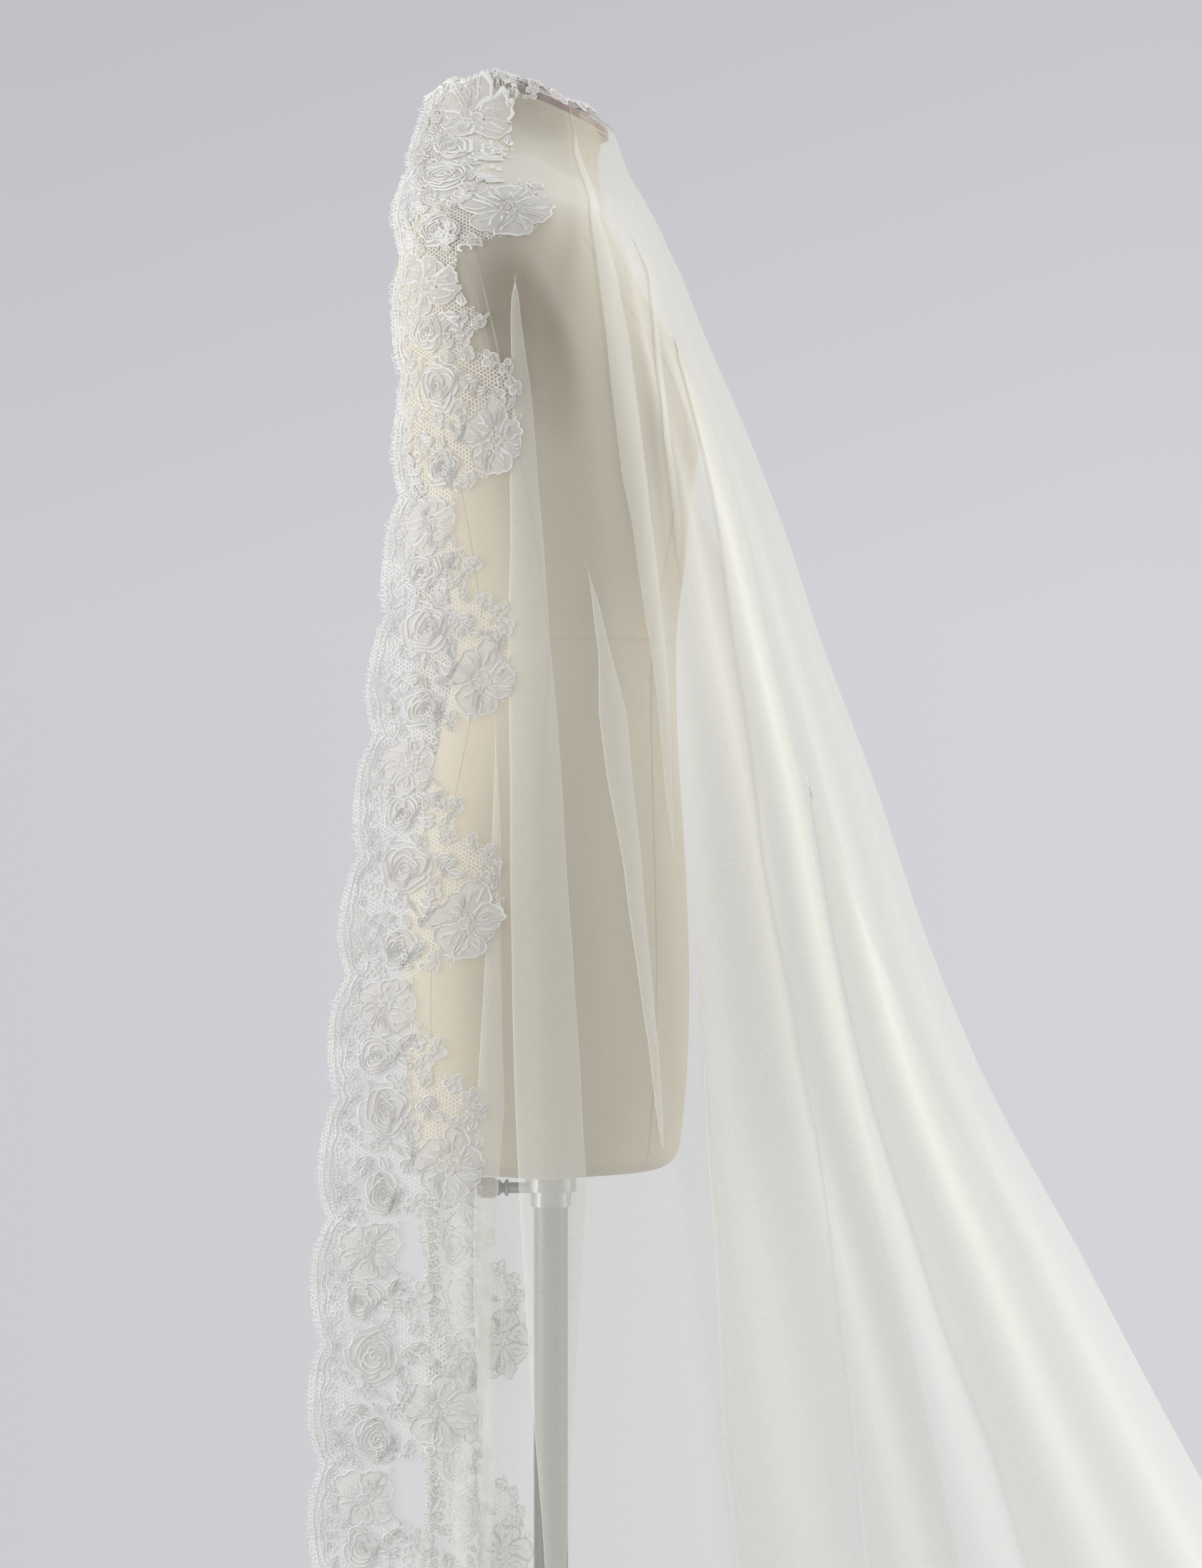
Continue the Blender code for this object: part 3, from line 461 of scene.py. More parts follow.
# Broad folds of each side: how far each crest lies from the first fold to the front ridge, at the
# shoulder, the waist, the knee and the floor, and how deep it is beside the others.
FOLD_COLUMNS = ("name", "shoulder", "waist", "knee", "floor", "depth")
FOLD_LEVELS = {"shoulder": 6, "waist": 11, "knee": 14.5, "floor": 21}
NEAR_FOLDS = (
    ("shoulder_tuck", 0.00, 0.00, 0.00, 0.00, 1.0),
    ("side_front", 0.30, 0.24, 0.22, 0.20, 0.8),
    ("hip_front", 0.50, 0.42, 0.34, 0.28, 0.9),
    ("bust", 0.62, 0.60, 0.53, 0.44, 1.0),
    ("train_low", 0.77, 0.74, 0.64, 0.58, 0.9),
    ("train_mid", 0.87, 0.86, 0.79, 0.74, 1.1),
    ("train_high", 0.95, 0.94, 0.91, 0.895, 1.0),
    ("ridge", 1.00, 1.00, 1.00, 1.00, 0.6),
)
FAR_FOLDS = (
    ("shoulder_tuck", 0.00, 0.00, 0.00, 0.00, 0.8),
    ("side_front", 0.27, 0.20, 0.19, 0.17, 1.0),
    ("hip_front", 0.47, 0.41, 0.36, 0.31, 0.8),
    ("bust", 0.64, 0.62, 0.54, 0.46, 0.9),
    ("train_low", 0.80, 0.80, 0.68, 0.59, 1.1),
    ("train_mid", 0.90, 0.90, 0.81, 0.73, 0.9),
    ("train_high", 0.96, 0.96, 0.93, 0.88, 1.0),
    ("ridge", 1.00, 1.00, 1.00, 1.00, 0.6),
)
FOLDS = {-1: [dict(zip(FOLD_COLUMNS, row)) for row in NEAR_FOLDS],
         1: [dict(zip(FOLD_COLUMNS, row)) for row in FAR_FOLDS]}
FOLD_COUNT = len(NEAR_FOLDS) - 1
LACE_WAVE = (0.050, 0.100)
LACE_WAVE_DEPTH = 0.35
FAR_EDGE_WAVE = 0.015
FAR_EDGE_PITCH = 0.062
FAR_EDGE_HEIGHTS = (0.05, 0.20, 0.60, 0.85)

# Laps: places where the tulle folds over itself in three layers, from the neck to the floor. Each row
# has a height and the lap's back and front edge there; a lap starts and ends where they meet.
LAPS = {
    -1: {
        "back": ((1.530, -0.055, -0.055), (1.400, -0.065, -0.065), (1.100, -0.042, -0.042),
                 (0.950, -0.0420, -0.0370), (0.850, -0.0480, -0.0365), (0.760, -0.0530, -0.0340),
                 (0.700, -0.0545, -0.0385), (0.620, -0.0555, -0.0430), (0.540, -0.0520, -0.0480),
                 (0.500, -0.050, -0.050), (0.030, -0.050, -0.050)),
        "shoulder": ((1.530, 0.004, 0.004), (1.450, -0.012, -0.012), (1.402, -0.0255, -0.0255),
                     (1.329, -0.0275, -0.0175), (1.235, -0.0288, -0.0088), (1.160, -0.0290, -0.0026),
                     (1.056, -0.0292, 0.0059), (0.957, -0.0282, 0.0123), (0.877, -0.0268, 0.0180),
                     (0.795, -0.0252, 0.0235), (0.701, -0.0214, 0.0285), (0.555, -0.0120, 0.0205),
                     (0.500, -0.0080, 0.0175), (0.450, -0.0035, 0.0150), (0.393, 0.0000, 0.0125),
                     (0.250, 0.003, 0.009), (0.100, 0.006, 0.006),
                     (0.030, 0.003, 0.003)),
        "waist": ((1.530, 0.012, 0.012), (1.400, 0.012, 0.012), (1.250, 0.018, 0.018),
                  (1.178, 0.0270, 0.0280), (1.145, 0.0340, 0.0375), (1.101, 0.0395, 0.0480),
                  (1.056, 0.0397, 0.0600), (1.007, 0.0459, 0.0640), (0.942, 0.0582, 0.0710),
                  (0.867, 0.0682, 0.0775), (0.798, 0.0782, 0.0840), (0.730, 0.0860, 0.0885),
                  (0.705, 0.0890, 0.0890), (0.600, 0.096, 0.096), (0.300, 0.120, 0.120),
                  (0.030, 0.140, 0.140)),
        "side_front": ((1.530, 0.019, 0.021), (1.500, 0.022, 0.027), (1.446, 0.0320, 0.0385),
                       (1.397, 0.0385, 0.0525), (1.351, 0.0447, 0.0615), (1.312, 0.0482, 0.0665),
                       (1.272, 0.0532, 0.0715), (1.239, 0.0571, 0.0755), (1.207, 0.0643, 0.0785),
                       (1.178, 0.0682, 0.0825), (1.142, 0.0733, 0.0865), (1.115, 0.0777, 0.0890),
                       (1.078, 0.0830, 0.0920), (1.000, 0.0900, 0.0940), (0.900, 0.100, 0.100),
                       (0.800, 0.108, 0.108), (0.600, 0.118, 0.118), (0.400, 0.135, 0.135),
                       (0.030, 0.155, 0.155)),
        "hip": ((1.530, 0.028, 0.028), (1.446, 0.046, 0.046), (1.400, 0.066, 0.066), (1.300, 0.077, 0.077),
                (1.200, 0.0875, 0.0875), (1.100, 0.096, 0.096), (1.000, 0.105, 0.105), (0.900, 0.113, 0.113),
                (0.800, 0.1185, 0.1215), (0.645, 0.1280, 0.1325), (0.508, 0.1335, 0.1380),
                (0.403, 0.1460, 0.1510), (0.200, 0.165, 0.165), (0.030, 0.175, 0.175)),
        "chest": ((1.530, 0.034, 0.034), (1.446, 0.058, 0.058), (1.402, 0.0772, 0.0792),
                  (1.359, 0.0817, 0.0847), (1.327, 0.0840, 0.0882), (1.272, 0.0895, 0.0937),
                  (1.222, 0.0960, 0.1002), (1.180, 0.0990, 0.1015), (1.120, 0.1045, 0.1045),
                  (0.900, 0.135, 0.135), (0.800, 0.140, 0.140), (0.600, 0.155, 0.155),
                  (0.400, 0.175, 0.175), (0.030, 0.200, 0.200)),
        "train_low": ((1.530, 0.040, 0.040), (1.446, 0.068, 0.068), (1.400, 0.0865, 0.0865),
                      (1.350, 0.098, 0.098), (1.290, 0.1135, 0.1245), (1.181, 0.1355, 0.1565),
                      (1.065, 0.1520, 0.1820), (0.949, 0.1655, 0.2055), (0.841, 0.1880, 0.2255),
                      (0.732, 0.2065, 0.2470), (0.623, 0.2210, 0.2690), (0.514, 0.2330, 0.2910),
                      (0.393, 0.2435, 0.3165), (0.200, 0.290, 0.370), (0.100, 0.330, 0.380),
                      (0.030, 0.370, 0.370)),
        "train_high": ((1.530, 0.046, 0.046), (1.446, 0.076, 0.076), (1.400, 0.093, 0.093),
                       (1.290, 0.134, 0.134), (1.181, 0.166, 0.166), (1.065, 0.190, 0.190),
                       (1.000, 0.2015, 0.2025), (0.949, 0.2100, 0.2250), (0.841, 0.2300, 0.2700),
                       (0.768, 0.2475, 0.3005), (0.696, 0.2695, 0.3345), (0.594, 0.3020, 0.3820),
                       (0.493, 0.3415, 0.4345), (0.393, 0.3705, 0.4935), (0.200, 0.450, 0.570),
                       (0.100, 0.500, 0.560), (0.030, 0.560, 0.560)),
    },
    1: {
        "shoulder": ((1.530, 0.000, 0.000), (1.400, -0.030, -0.030), (1.300, -0.028, -0.020),
                     (1.200, -0.026, -0.012), (1.000, -0.020, 0.006), (0.800, -0.012, 0.014),
                     (0.600, -0.004, 0.016), (0.400, 0.000, 0.010), (0.250, 0.004, 0.004),
                     (0.030, 0.004, 0.004)),
        "chest": ((1.530, 0.022, 0.022), (1.380, 0.060, 0.060), (1.300, 0.067, 0.075), (1.200, 0.075, 0.083),
                  (1.120, 0.081, 0.086), (1.050, 0.085, 0.085), (0.900, 0.095, 0.095), (0.700, 0.105, 0.105),
                  (0.400, 0.120, 0.120), (0.030, 0.140, 0.140)),
        "train_low": ((1.530, 0.030, 0.030), (1.400, 0.078, 0.078), (1.280, 0.095, 0.098),
                      (1.194, 0.1005, 0.1415), (1.070, 0.1095, 0.1605), (0.946, 0.1190, 0.1750),
                      (0.829, 0.1230, 0.1990), (0.712, 0.1315, 0.2185), (0.596, 0.1400, 0.2340),
                      (0.479, 0.1445, 0.2475), (0.348, 0.1575, 0.2585), (0.200, 0.180, 0.270),
                      (0.100, 0.200, 0.250), (0.030, 0.220, 0.220)),
        "train_middle": ((1.530, 0.036, 0.036), (1.400, 0.085, 0.085), (1.280, 0.120, 0.120),
                         (1.194, 0.152, 0.152), (1.140, 0.168, 0.168), (1.013, 0.1973, 0.2021),
                         (0.922, 0.2157, 0.2205), (0.816, 0.2335, 0.2383), (0.686, 0.2626, 0.2674),
                         (0.526, 0.2953, 0.3001), (0.352, 0.3340, 0.3390), (0.200, 0.360, 0.360),
                         (0.030, 0.400, 0.400)),
        "train_high": ((1.530, 0.042, 0.042), (1.400, 0.092, 0.092), (1.280, 0.135, 0.135),
                       (1.140, 0.185, 0.185), (1.000, 0.225, 0.225), (0.800, 0.320, 0.320),
                       (0.663, 0.3665, 0.3712), (0.569, 0.4070, 0.4120), (0.484, 0.4394, 0.4442),
                       (0.358, 0.5120, 0.5170), (0.200, 0.590, 0.590), (0.030, 0.680, 0.680)),
    },
}
LAP_LAYER = 0.0014
LAP_FADE = 0.030
LAP_TURN = 4
LAP_LEAST = 0.0001
LAP_HALF = 0.003
LAP_APART = 0.003
LAP_APART_TOP = 0.0065
WAVE_SHARE = 0.14
TULLE_ROWS = 184
TULLE_START = 0.045
PLAIN_COLUMNS = {-1: 150, 1: 140}
TULLE_IVORY = (0.87, 0.872, 0.825)
TULLE_COVER = 0.27
TULLE_GLOW = 0.30
TULLE_CELL = 0.0011
TULLE_THREAD = 0.00022


def level(place):
    """The veil's level table, read smoothly at a row number with a fraction."""
    row = dict(zip(LEVEL_COLUMNS, read_rows(LEVEL_ROWS, place)))
    row["lie"] = min(max(row["lie"], 0.0), 1.0)
    row["z"] = max(row["z"], 0.0)
    return row


def fold_number(side, place, row, x):
    """Which fold a point belongs to: whole numbers are crests, and the lace is below 0."""
    shares = [np.interp(place, list(FOLD_LEVELS.values()), [fold[name] for name in FOLD_LEVELS])
              for fold in FOLDS[side]]
    crests = row["fold_x"] + (row["nose_x"] - row["fold_x"]) * np.array(shares)
    numbers = np.interp(x, crests, np.arange(FOLD_COUNT + 1))
    lace_wave = np.interp(place, (0, LAST_LEVEL), LACE_WAVE)
    return np.where(x < crests[0], (x - crests[0]) / lace_wave, numbers)


def ease(share):
    """A share from 0 to 1 that starts and ends gently."""
    share = np.clip(share, 0.0, 1.0)
    return share * share * (3 - 2 * share)


def drape_ring(side, place):
    """One side of the cloth at a level, from the lace's outer edge to the front ridge."""
    row = level(place)
    edge_x = row["near_x"] if side < 0 else row["far_x"]
    wrap = math.radians(row["wrap"])
    angle = wrap * np.linspace(1.0, 0.0, RING_SAMPLES)
    back = (row["centre_x"] - edge_x) / -math.cos(wrap)
    front = row["nose_x"] - row["centre_x"]
    reach = np.where(angle > math.pi / 2, back, front)
    x = row["centre_x"] + reach * np.cos(angle)
    y = side * row["half_width"] * np.sin(angle)
    out = np.stack((row["half_width"] * np.cos(angle), side * reach * np.sin(angle), 0 * angle), axis=-1)
    out /= np.linalg.norm(out, axis=1)[:, None]
    number = fold_number(side, place, row, x)
    depths = [LACE_WAVE_DEPTH] + [fold["depth"] for fold in FOLDS[side]]
    depth = np.interp(number, range(-1, FOLD_COUNT + 1), depths)
    to_ridge = ease((number - FOLD_COUNT + 2.5) / 2.5)
    wave = row["wave"] * depth * (WAVE_SHARE * np.cos(2 * math.pi * number) + (1 - WAVE_SHARE) * to_ridge)
    from_edge = (x - edge_x) / 0.9
    hung = float(np.interp(row["z"], FAR_EDGE_HEIGHTS, (0.0, 1.0, 1.0, 0.0))) if side > 0 else 0.0
    wave = wave + hung * FAR_EDGE_WAVE * np.sin(2 * math.pi * from_edge / FAR_EDGE_PITCH) * (
        ease(from_edge / 0.02) * ease((0.10 - from_edge) / 0.03))
    lift = (row["wave"] * depth + wave) * row["lie"]
    z = row["z"] - row["tilt"] * x - row["droop"] * np.maximum(DROOP_FROM_X - x, 0.0) + lift
    points = np.column_stack((x, y, np.maximum(z, 0.0))) + out * (wave * (1 - row["lie"]))[:, None]
    run = np.concatenate(([0.0], np.cumsum(np.linalg.norm(np.diff(points, axis=0), axis=1))))
    return row, points, out, run


def place_at_height(z):
    """Level number at a height, on the hanging part of the veil."""
    fine = np.linspace(0, FLOOR_LEVEL, 400)
    return float(np.interp(-z, -read_rows(LEVEL_ROWS, fine)[:, 0], fine))


def plan_laps(side):
    """Each lap's level numbers, and its edges there as shares of the way round the side."""
    plans = []
    for table in LAPS[side].values():
        rows = []
        for z, back, front in table:
            at = place_at_height(z)
            points, _, run = drape_ring(side, at)[1:]
            ahead = np.maximum.accumulate(points[:, 0]) + 1e-9 * np.arange(len(run))
            rows.append((at, *(np.interp((back, front), ahead, run) / run[-1])))
        plans.append(np.array(rows).T)
    return plans


def lap_edges(plans, place, start, length):
    """Where the laps' edges lie on one row, each behind the next."""
    edges = []
    least = start + LAP_APART
    for levels, backs, fronts in plans:
        back = max(float(np.interp(place, levels, backs)) * length, least)
        front = max(float(np.interp(place, levels, fronts)) * length, back + LAP_LEAST)
        edges.append((back, front))
        least = front + (LAP_APART if length > 0.3 else LAP_APART_TOP)
    return edges


def share_columns(side, plans):
    """How many columns of the mesh each plain stretch and each lap's middle layer gets."""
    run = drape_ring(side, place_at_height(0.75))[3]
    edges = lap_edges(plans, place_at_height(0.75), 0.06, run[-1])
    starts = [0.06] + [back for back, front in edges]
    ends = [front for back, front in edges] + [run[-1]]
    lengths = np.array(ends) - np.array(starts)
    plain = [max(4, round(PLAIN_COLUMNS[side] * length / lengths.sum())) for length in lengths]
    laid = [max(2, round((front - back) / 0.009)) for back, front in edges]
    return plain, laid


def lap_row(edges, start, end, plain, laid):
    """How far round each column of a row lies, and how far off the drape, with every lap folded.

    A lap that is shut on this row lies flat: its columns are spread along the cloth instead.
    """
    turn = np.linspace(0.0, math.pi, LAP_TURN + 1)[1:]
    at, off, flat, folded = [np.array([start])], [np.array([0.0])], [np.array([start])], [np.array([0.0])]
    here, even, shut, below, passed = start, start, 0.0, 0.0, start
    for (back, front), columns, middle in zip(edges + [(end, end)], plain, laid + [0]):
        last = middle == 0
        share = np.linspace(0.0, 1.0, columns + 1)[1:]
        line = here + (front - here) * share
        depth = 0.0 if last else LAP_LAYER * min((front - back) / 0.004, 1.0)
        half = 0.0 if last else LAP_HALF
        fold = 0.0 if last else float(ease((front - back) / 0.004))
        at.append(line)
        off.append(below * ease(1 - (line - passed) / LAP_FADE) - depth * ease(1 - (back - line) / LAP_FADE))
        flat.append(even + ((back + front) / 2 - half - even) * share)
        folded.append(shut + (fold - shut) * share)
        if last:
            break
        across = np.linspace(0.0, 1.0, middle + 1)[1:]
        at += [front + depth / 2 * np.sin(turn), front + (back - front) * across,
               back - depth / 2 * np.sin(turn)]
        off += [-depth / 2 - depth / 2 * np.cos(turn), np.zeros(middle), depth / 2 - depth / 2 * np.cos(turn)]
        spread = np.linspace(-LAP_HALF, LAP_HALF, 2 * LAP_TURN + middle + 1)[1:]
        flat.append((back + front) / 2 + spread)
        folded.append(np.full(len(spread), fold))
        here, even, shut, below, passed = back, (back + front) / 2 + LAP_HALF, fold, depth, front
    at, off, flat, folded = (np.concatenate(parts) for parts in (at, off, flat, folded))
    return flat + (at - flat) * folded, off * folded


def tulle_row(side, place, start_run, plans, columns):
    """Points along one row of the tulle, with its laps, from start_run in from the edge."""
    row, points, out, run = drape_ring(side, place)
    edges = lap_edges(plans, place, start_run, run[-1])
    at, off = lap_row(edges, start_run, run[-1], *columns)
    made = np.stack([np.interp(at, run, points[:, k]) for k in range(3)], axis=-1)
    normal = np.stack([np.interp(at, run, out[:, k]) for k in range(3)], axis=-1)
    ripple = 0.0010 * np.sin(31 * at + 5 * row["z"]) * np.sin(7.3 * row["z"] + 2.1 * side + 13 * at)
    calm = min(max((1.40 - row["z"]) / 0.3, 0.0), 1.0) * (1 - row["lie"])
    ripple = ripple * calm * np.clip((at - 0.14) / 0.05, 0.0, 1.0)
    ridge = np.clip((run[-1] - at) / 0.03, 0.0, 1.0)
    made += normal * (off * (1 - 0.8 * row["lie"]) + ripple * ridge)[:, None]
    made[:, 2] = np.maximum(made[:, 2], 0.0004)
    steps = np.linalg.norm(np.diff(made, axis=0), axis=1)
    return made, np.concatenate(([0.0], np.cumsum(steps)))


def drape_places(count):
    """Level numbers of the rows: closer together where the cloth turns over the shoulder."""
    fine = np.linspace(0, LAST_LEVEL, 600)
    rows = dict(zip(LEVEL_COLUMNS, read_rows(LEVEL_ROWS, fine).T))
    z, nose, half = (np.diff(rows[column]) for column in ("z", "nose_x", "half_width"))
    steps = np.sqrt(z ** 2 + nose ** 2 / 4 + half ** 2)
    run = np.concatenate(([0.0], np.cumsum(steps ** 0.75)))
    return np.interp(np.linspace(0, run[-1], count + 1), run, fine)


def edge_run(side):
    """Level numbers down one outer edge of the cloth, its points there and its length down to them."""
    places = np.linspace(0, LAST_LEVEL, 501)
    edge = np.array([drape_ring(side, place)[1][0] for place in places])
    return places, edge, np.concatenate(([0.0], np.cumsum(np.linalg.norm(np.diff(edge, axis=0), axis=1))))


def math_node(tree, operation, *values, clamp=False):
    """The result of a sum on sockets or numbers."""
    node = tree.nodes.new("ShaderNodeMath")
    node.operation = operation
    node.use_clamp = clamp
    for socket, value in zip(node.inputs, values):
        if isinstance(value, (int, float)):
            socket.default_value = value
        else:
            tree.links.new(value, socket)
    return node.outputs[0]


def net_group():
    """Threads of a six-sided net on a flat position in metres, with cells a little uneven."""
    group, inside, outside = effect_group(
        "six_sided_net",
        (("Vector", "Vector", None), ("Cell", "Float", 0.003), ("Thread", "Float", 0.15),
         ("Unevenness", "Float", 0.2)),
        (("Mask", "Float"),))
    nodes, links = group.nodes, group.links

    def sum_of(operation, *values):
        """The result of a sum on flat places."""
        node = nodes.new("ShaderNodeVectorMath")
        node.operation = operation
        for socket, value in zip(node.inputs, values):
            if isinstance(value, tuple):
                socket.default_value = value
            else:
                links.new(value, socket)
        return node.outputs["Value"] if operation == "DOT_PRODUCT" else node.outputs["Vector"]

    share = nodes.new("ShaderNodeVectorMath")
    share.operation = "SCALE"
    links.new(inside.outputs["Vector"], share.inputs[0])
    links.new(math_node(group, "DIVIDE", 1.0, inside.outputs["Cell"]), share.inputs["Scale"])
    drift = nodes.new("ShaderNodeTexNoise")
    drift.noise_dimensions = "2D"
    drift.inputs["Scale"].default_value = 0.55
    drift.inputs["Detail"].default_value = 0.0
    links.new(share.outputs["Vector"], drift.inputs["Vector"])
    offset = nodes.new("ShaderNodeVectorMath")
    offset.operation = "SCALE"
    links.new(sum_of("SUBTRACT", drift.outputs["Color"], (0.5, 0.5, 0.5)), offset.inputs[0])
    links.new(inside.outputs["Unevenness"], offset.inputs["Scale"])
    uneven = sum_of("ADD", share.outputs["Vector"], offset.outputs["Vector"])
    place = sum_of("MULTIPLY", uneven, (1.0, 1.0, 0.0))
    row = 3 ** 0.5
    distances = []
    for shift in (3000.0, 3000.5):
        moved = sum_of("ADD", place, (shift, shift * row, 0.0))
        cell = sum_of("SUBTRACT", sum_of("MODULO", moved, (1.0, row, 1.0)), (0.5, row / 2, 0.0))
        size = sum_of("ABSOLUTE", cell)
        parts = nodes.new("ShaderNodeSeparateXYZ")
        links.new(size, parts.inputs[0])
        slanted = sum_of("DOT_PRODUCT", size, (0.5, row / 2, 0.0))
        distances.append(math_node(group, "MAXIMUM", parts.outputs["X"], slanted))
    sides = [math_node(group, "SUBTRACT", 0.5, math_node(group, "MULTIPLY", inside.outputs["Thread"], part))
             for part in (0.65, 0.35)]
    links.new(map_range(group, math_node(group, "MINIMUM", *distances), *sides), outside.inputs["Mask"])
    return group


NET = net_group()


def net_mask(tree, cell, thread, unevenness):
    """Mask of the threads of a net with cells of that size, on the piece's own UV in metres."""
    uv = tree.nodes.new("ShaderNodeUVMap")
    uv.uv_map = "cloth"
    net = tree.nodes.new("ShaderNodeGroup")
    net.node_tree = NET
    net.inputs["Cell"].default_value = cell
    net.inputs["Thread"].default_value = thread / cell
    net.inputs["Unevenness"].default_value = unevenness
    tree.links.new(uv.outputs["UV"], net.inputs["Vector"])
    return net.outputs["Mask"]


def sheer(tree, shader, color, cover, through):
    """Makes a finish sheer: light passes between its threads, and glows through them."""
    output = tree.nodes["Material Output"]
    clear = tree.nodes.new("ShaderNodeBsdfTransparent")
    glow = tree.nodes.new("ShaderNodeBsdfTranslucent")
    glow.inputs["Color"].default_value = (*color, 1.0)
    threads = tree.nodes.new("ShaderNodeMixShader")
    threads.inputs[0].default_value = through
    whole = tree.nodes.new("ShaderNodeMixShader")
    tree.links.new(shader.outputs[0], threads.inputs[1])
    tree.links.new(glow.outputs[0], threads.inputs[2])
    tree.links.new(cover, whole.inputs[0])
    tree.links.new(clear.outputs[0], whole.inputs[1])
    tree.links.new(threads.outputs[0], whole.inputs[2])
    tree.links.new(whole.outputs[0], output.inputs["Surface"])


tulle, tree, shader = finish("ivory_tulle", TULLE_IVORY, 0.75)
shader.inputs["Specular IOR Level"].default_value = 0.2
slant = tree.nodes.new("ShaderNodeLayerWeight")
facing = math_node(tree, "SUBTRACT", 1.0, slant.outputs["Facing"])
where = tree.nodes.new("ShaderNodeUVMap")
where.uv_map = "cloth"
across = tree.nodes.new("ShaderNodeSeparateXYZ")
tree.links.new(where.outputs["UV"], across.inputs[0])
spread = map_range(tree, math_node(tree, "ABSOLUTE", across.outputs["X"]), 0.05, 0.16, 0.95, 0.42)
open_share = math_node(tree, "MAXIMUM", facing, spread)
net = net_mask(tree, TULLE_CELL, TULLE_THREAD, 0.3)
threads = math_node(tree, "MULTIPLY_ADD", net, 0.10, TULLE_COVER - 0.03)
cover = math_node(tree, "DIVIDE", threads, open_share, clamp=True)
sheer(tree, shader, TULLE_IVORY, cover, TULLE_GLOW)


def give_uv(shape, verts, flat):
    """Writes each corner's place on the flat cloth, in metres, to the piece's own UV map."""
    shape.verts.index_update()
    layer = shape.loops.layers.uv.new("cloth")
    order = {vert.index: k for k, vert in enumerate(verts)}
    for face in shape.faces:
        for corner in face.loops:
            corner[layer].uv = flat[order[corner.vert.index]]


shape = bmesh.new()
edge_places, _, edge_lengths = edge_run(-1)
plans = {side: plan_laps(side) for side in (-1, 1)}
columns = {side: share_columns(side, plans[side]) for side in (-1, 1)}
total = sum(sum(plain) + sum(laid) + 2 * LAP_TURN * len(laid) for plain, laid in columns.values())
verts, share_across, share_down = flat_grid(shape, total, TULLE_ROWS)
column = np.rint(share_across * total).astype(int)
row_number = np.rint(share_down * TULLE_ROWS).astype(int)
rows = []
cloth_uv = []
for place in drape_places(TULLE_ROWS):
    (near, near_run), (far, far_run) = (
        tulle_row(side, place, TULLE_START, plans[side], columns[side]) for side in (-1, 1))
    near[-1, 1] = 0.0
    rows.append(np.vstack((near, far[::-1][1:])))
    down = np.interp(place, edge_places, edge_lengths)
    across = np.concatenate((near_run - near_run[-1], (far_run[-1] - far_run)[::-1][1:]))
    cloth_uv.append(np.column_stack((across, np.full_like(across, down))))
move_to(verts, np.array(rows)[row_number, column])
give_uv(shape, verts, np.array(cloth_uv)[row_number, column])
bmesh.ops.recalc_face_normals(shape, faces=shape.faces)
tulle_panel = piece_from(shape, "tulle_panel", tulle)
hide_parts("tulle_near_side", "tulle_far_side", "tulle_train")

# Ground net of the lace border.
# A twisted cotton net with cells of about 3 mm, cut along both scalloped edges. It lies on the
# tulle's edge and is sewn down by hand.
NET_CELL = 0.0032
NET_THREAD = 0.0006
NET_ALONG = 0.0030
NET_COLUMNS = 14
LACE_LIFT = 0.0006
LACE_IVORY = (0.81, 0.795, 0.755)
LACE_REPEAT = 0.187
REPEAT_HALF = LACE_REPEAT / 2
SCALLOP = LACE_REPEAT / 2
SCALLOP_DEPTH = 0.013
LACE_WIDE = 0.140
LOBE_HEIGHT = 0.902
REACH_FROM = 0.05
REACH_HEIGHTS = (0.95, 1.09, 1.29, 1.35, 1.375, 1.408, 1.425, 1.485, 1.505)
REACH_SHARES = (1.0, 0.90, 0.84, 0.92, 1.25, 1.25, 1.0, 1.0, 1.7)
SHOULDER_LAP = 0.22
SHOULDER_LAP_Z = 1.445
RIM_REACH = 0.086
RIM_LOBE = 0.014
RIM_LOBE_PITCH = 0.023
RIM_FADE = (1.478, 1.496)
RIM_TRIMMED_Z = 1.484

# The inner edge of one repeat, from the lobe's middle: first a step, then the lobe, which ends bluntly.
INNER_EDGE = (
    (-0.0935, 0.096), (-0.088, 0.102), (-0.079, 0.100), (-0.071, 0.091), (-0.064, 0.096), (-0.057, 0.119),
    (-0.045, 0.129), (-0.030, 0.134), (0.000, 0.138), (0.018, 0.136), (0.028, 0.128), (0.034, 0.110),
    (0.038, 0.086), (0.045, 0.076), (0.060, 0.073), (0.080, 0.075), (0.088, 0.080), (0.0935, 0.096),
)

ground, tree, shader = finish("lace_net", LACE_IVORY, 0.8)
threads = net_mask(tree, NET_CELL, NET_THREAD, 0.35)
tree.links.new(math_node(tree, "MULTIPLY", threads, 0.9), shader.inputs["Alpha"])


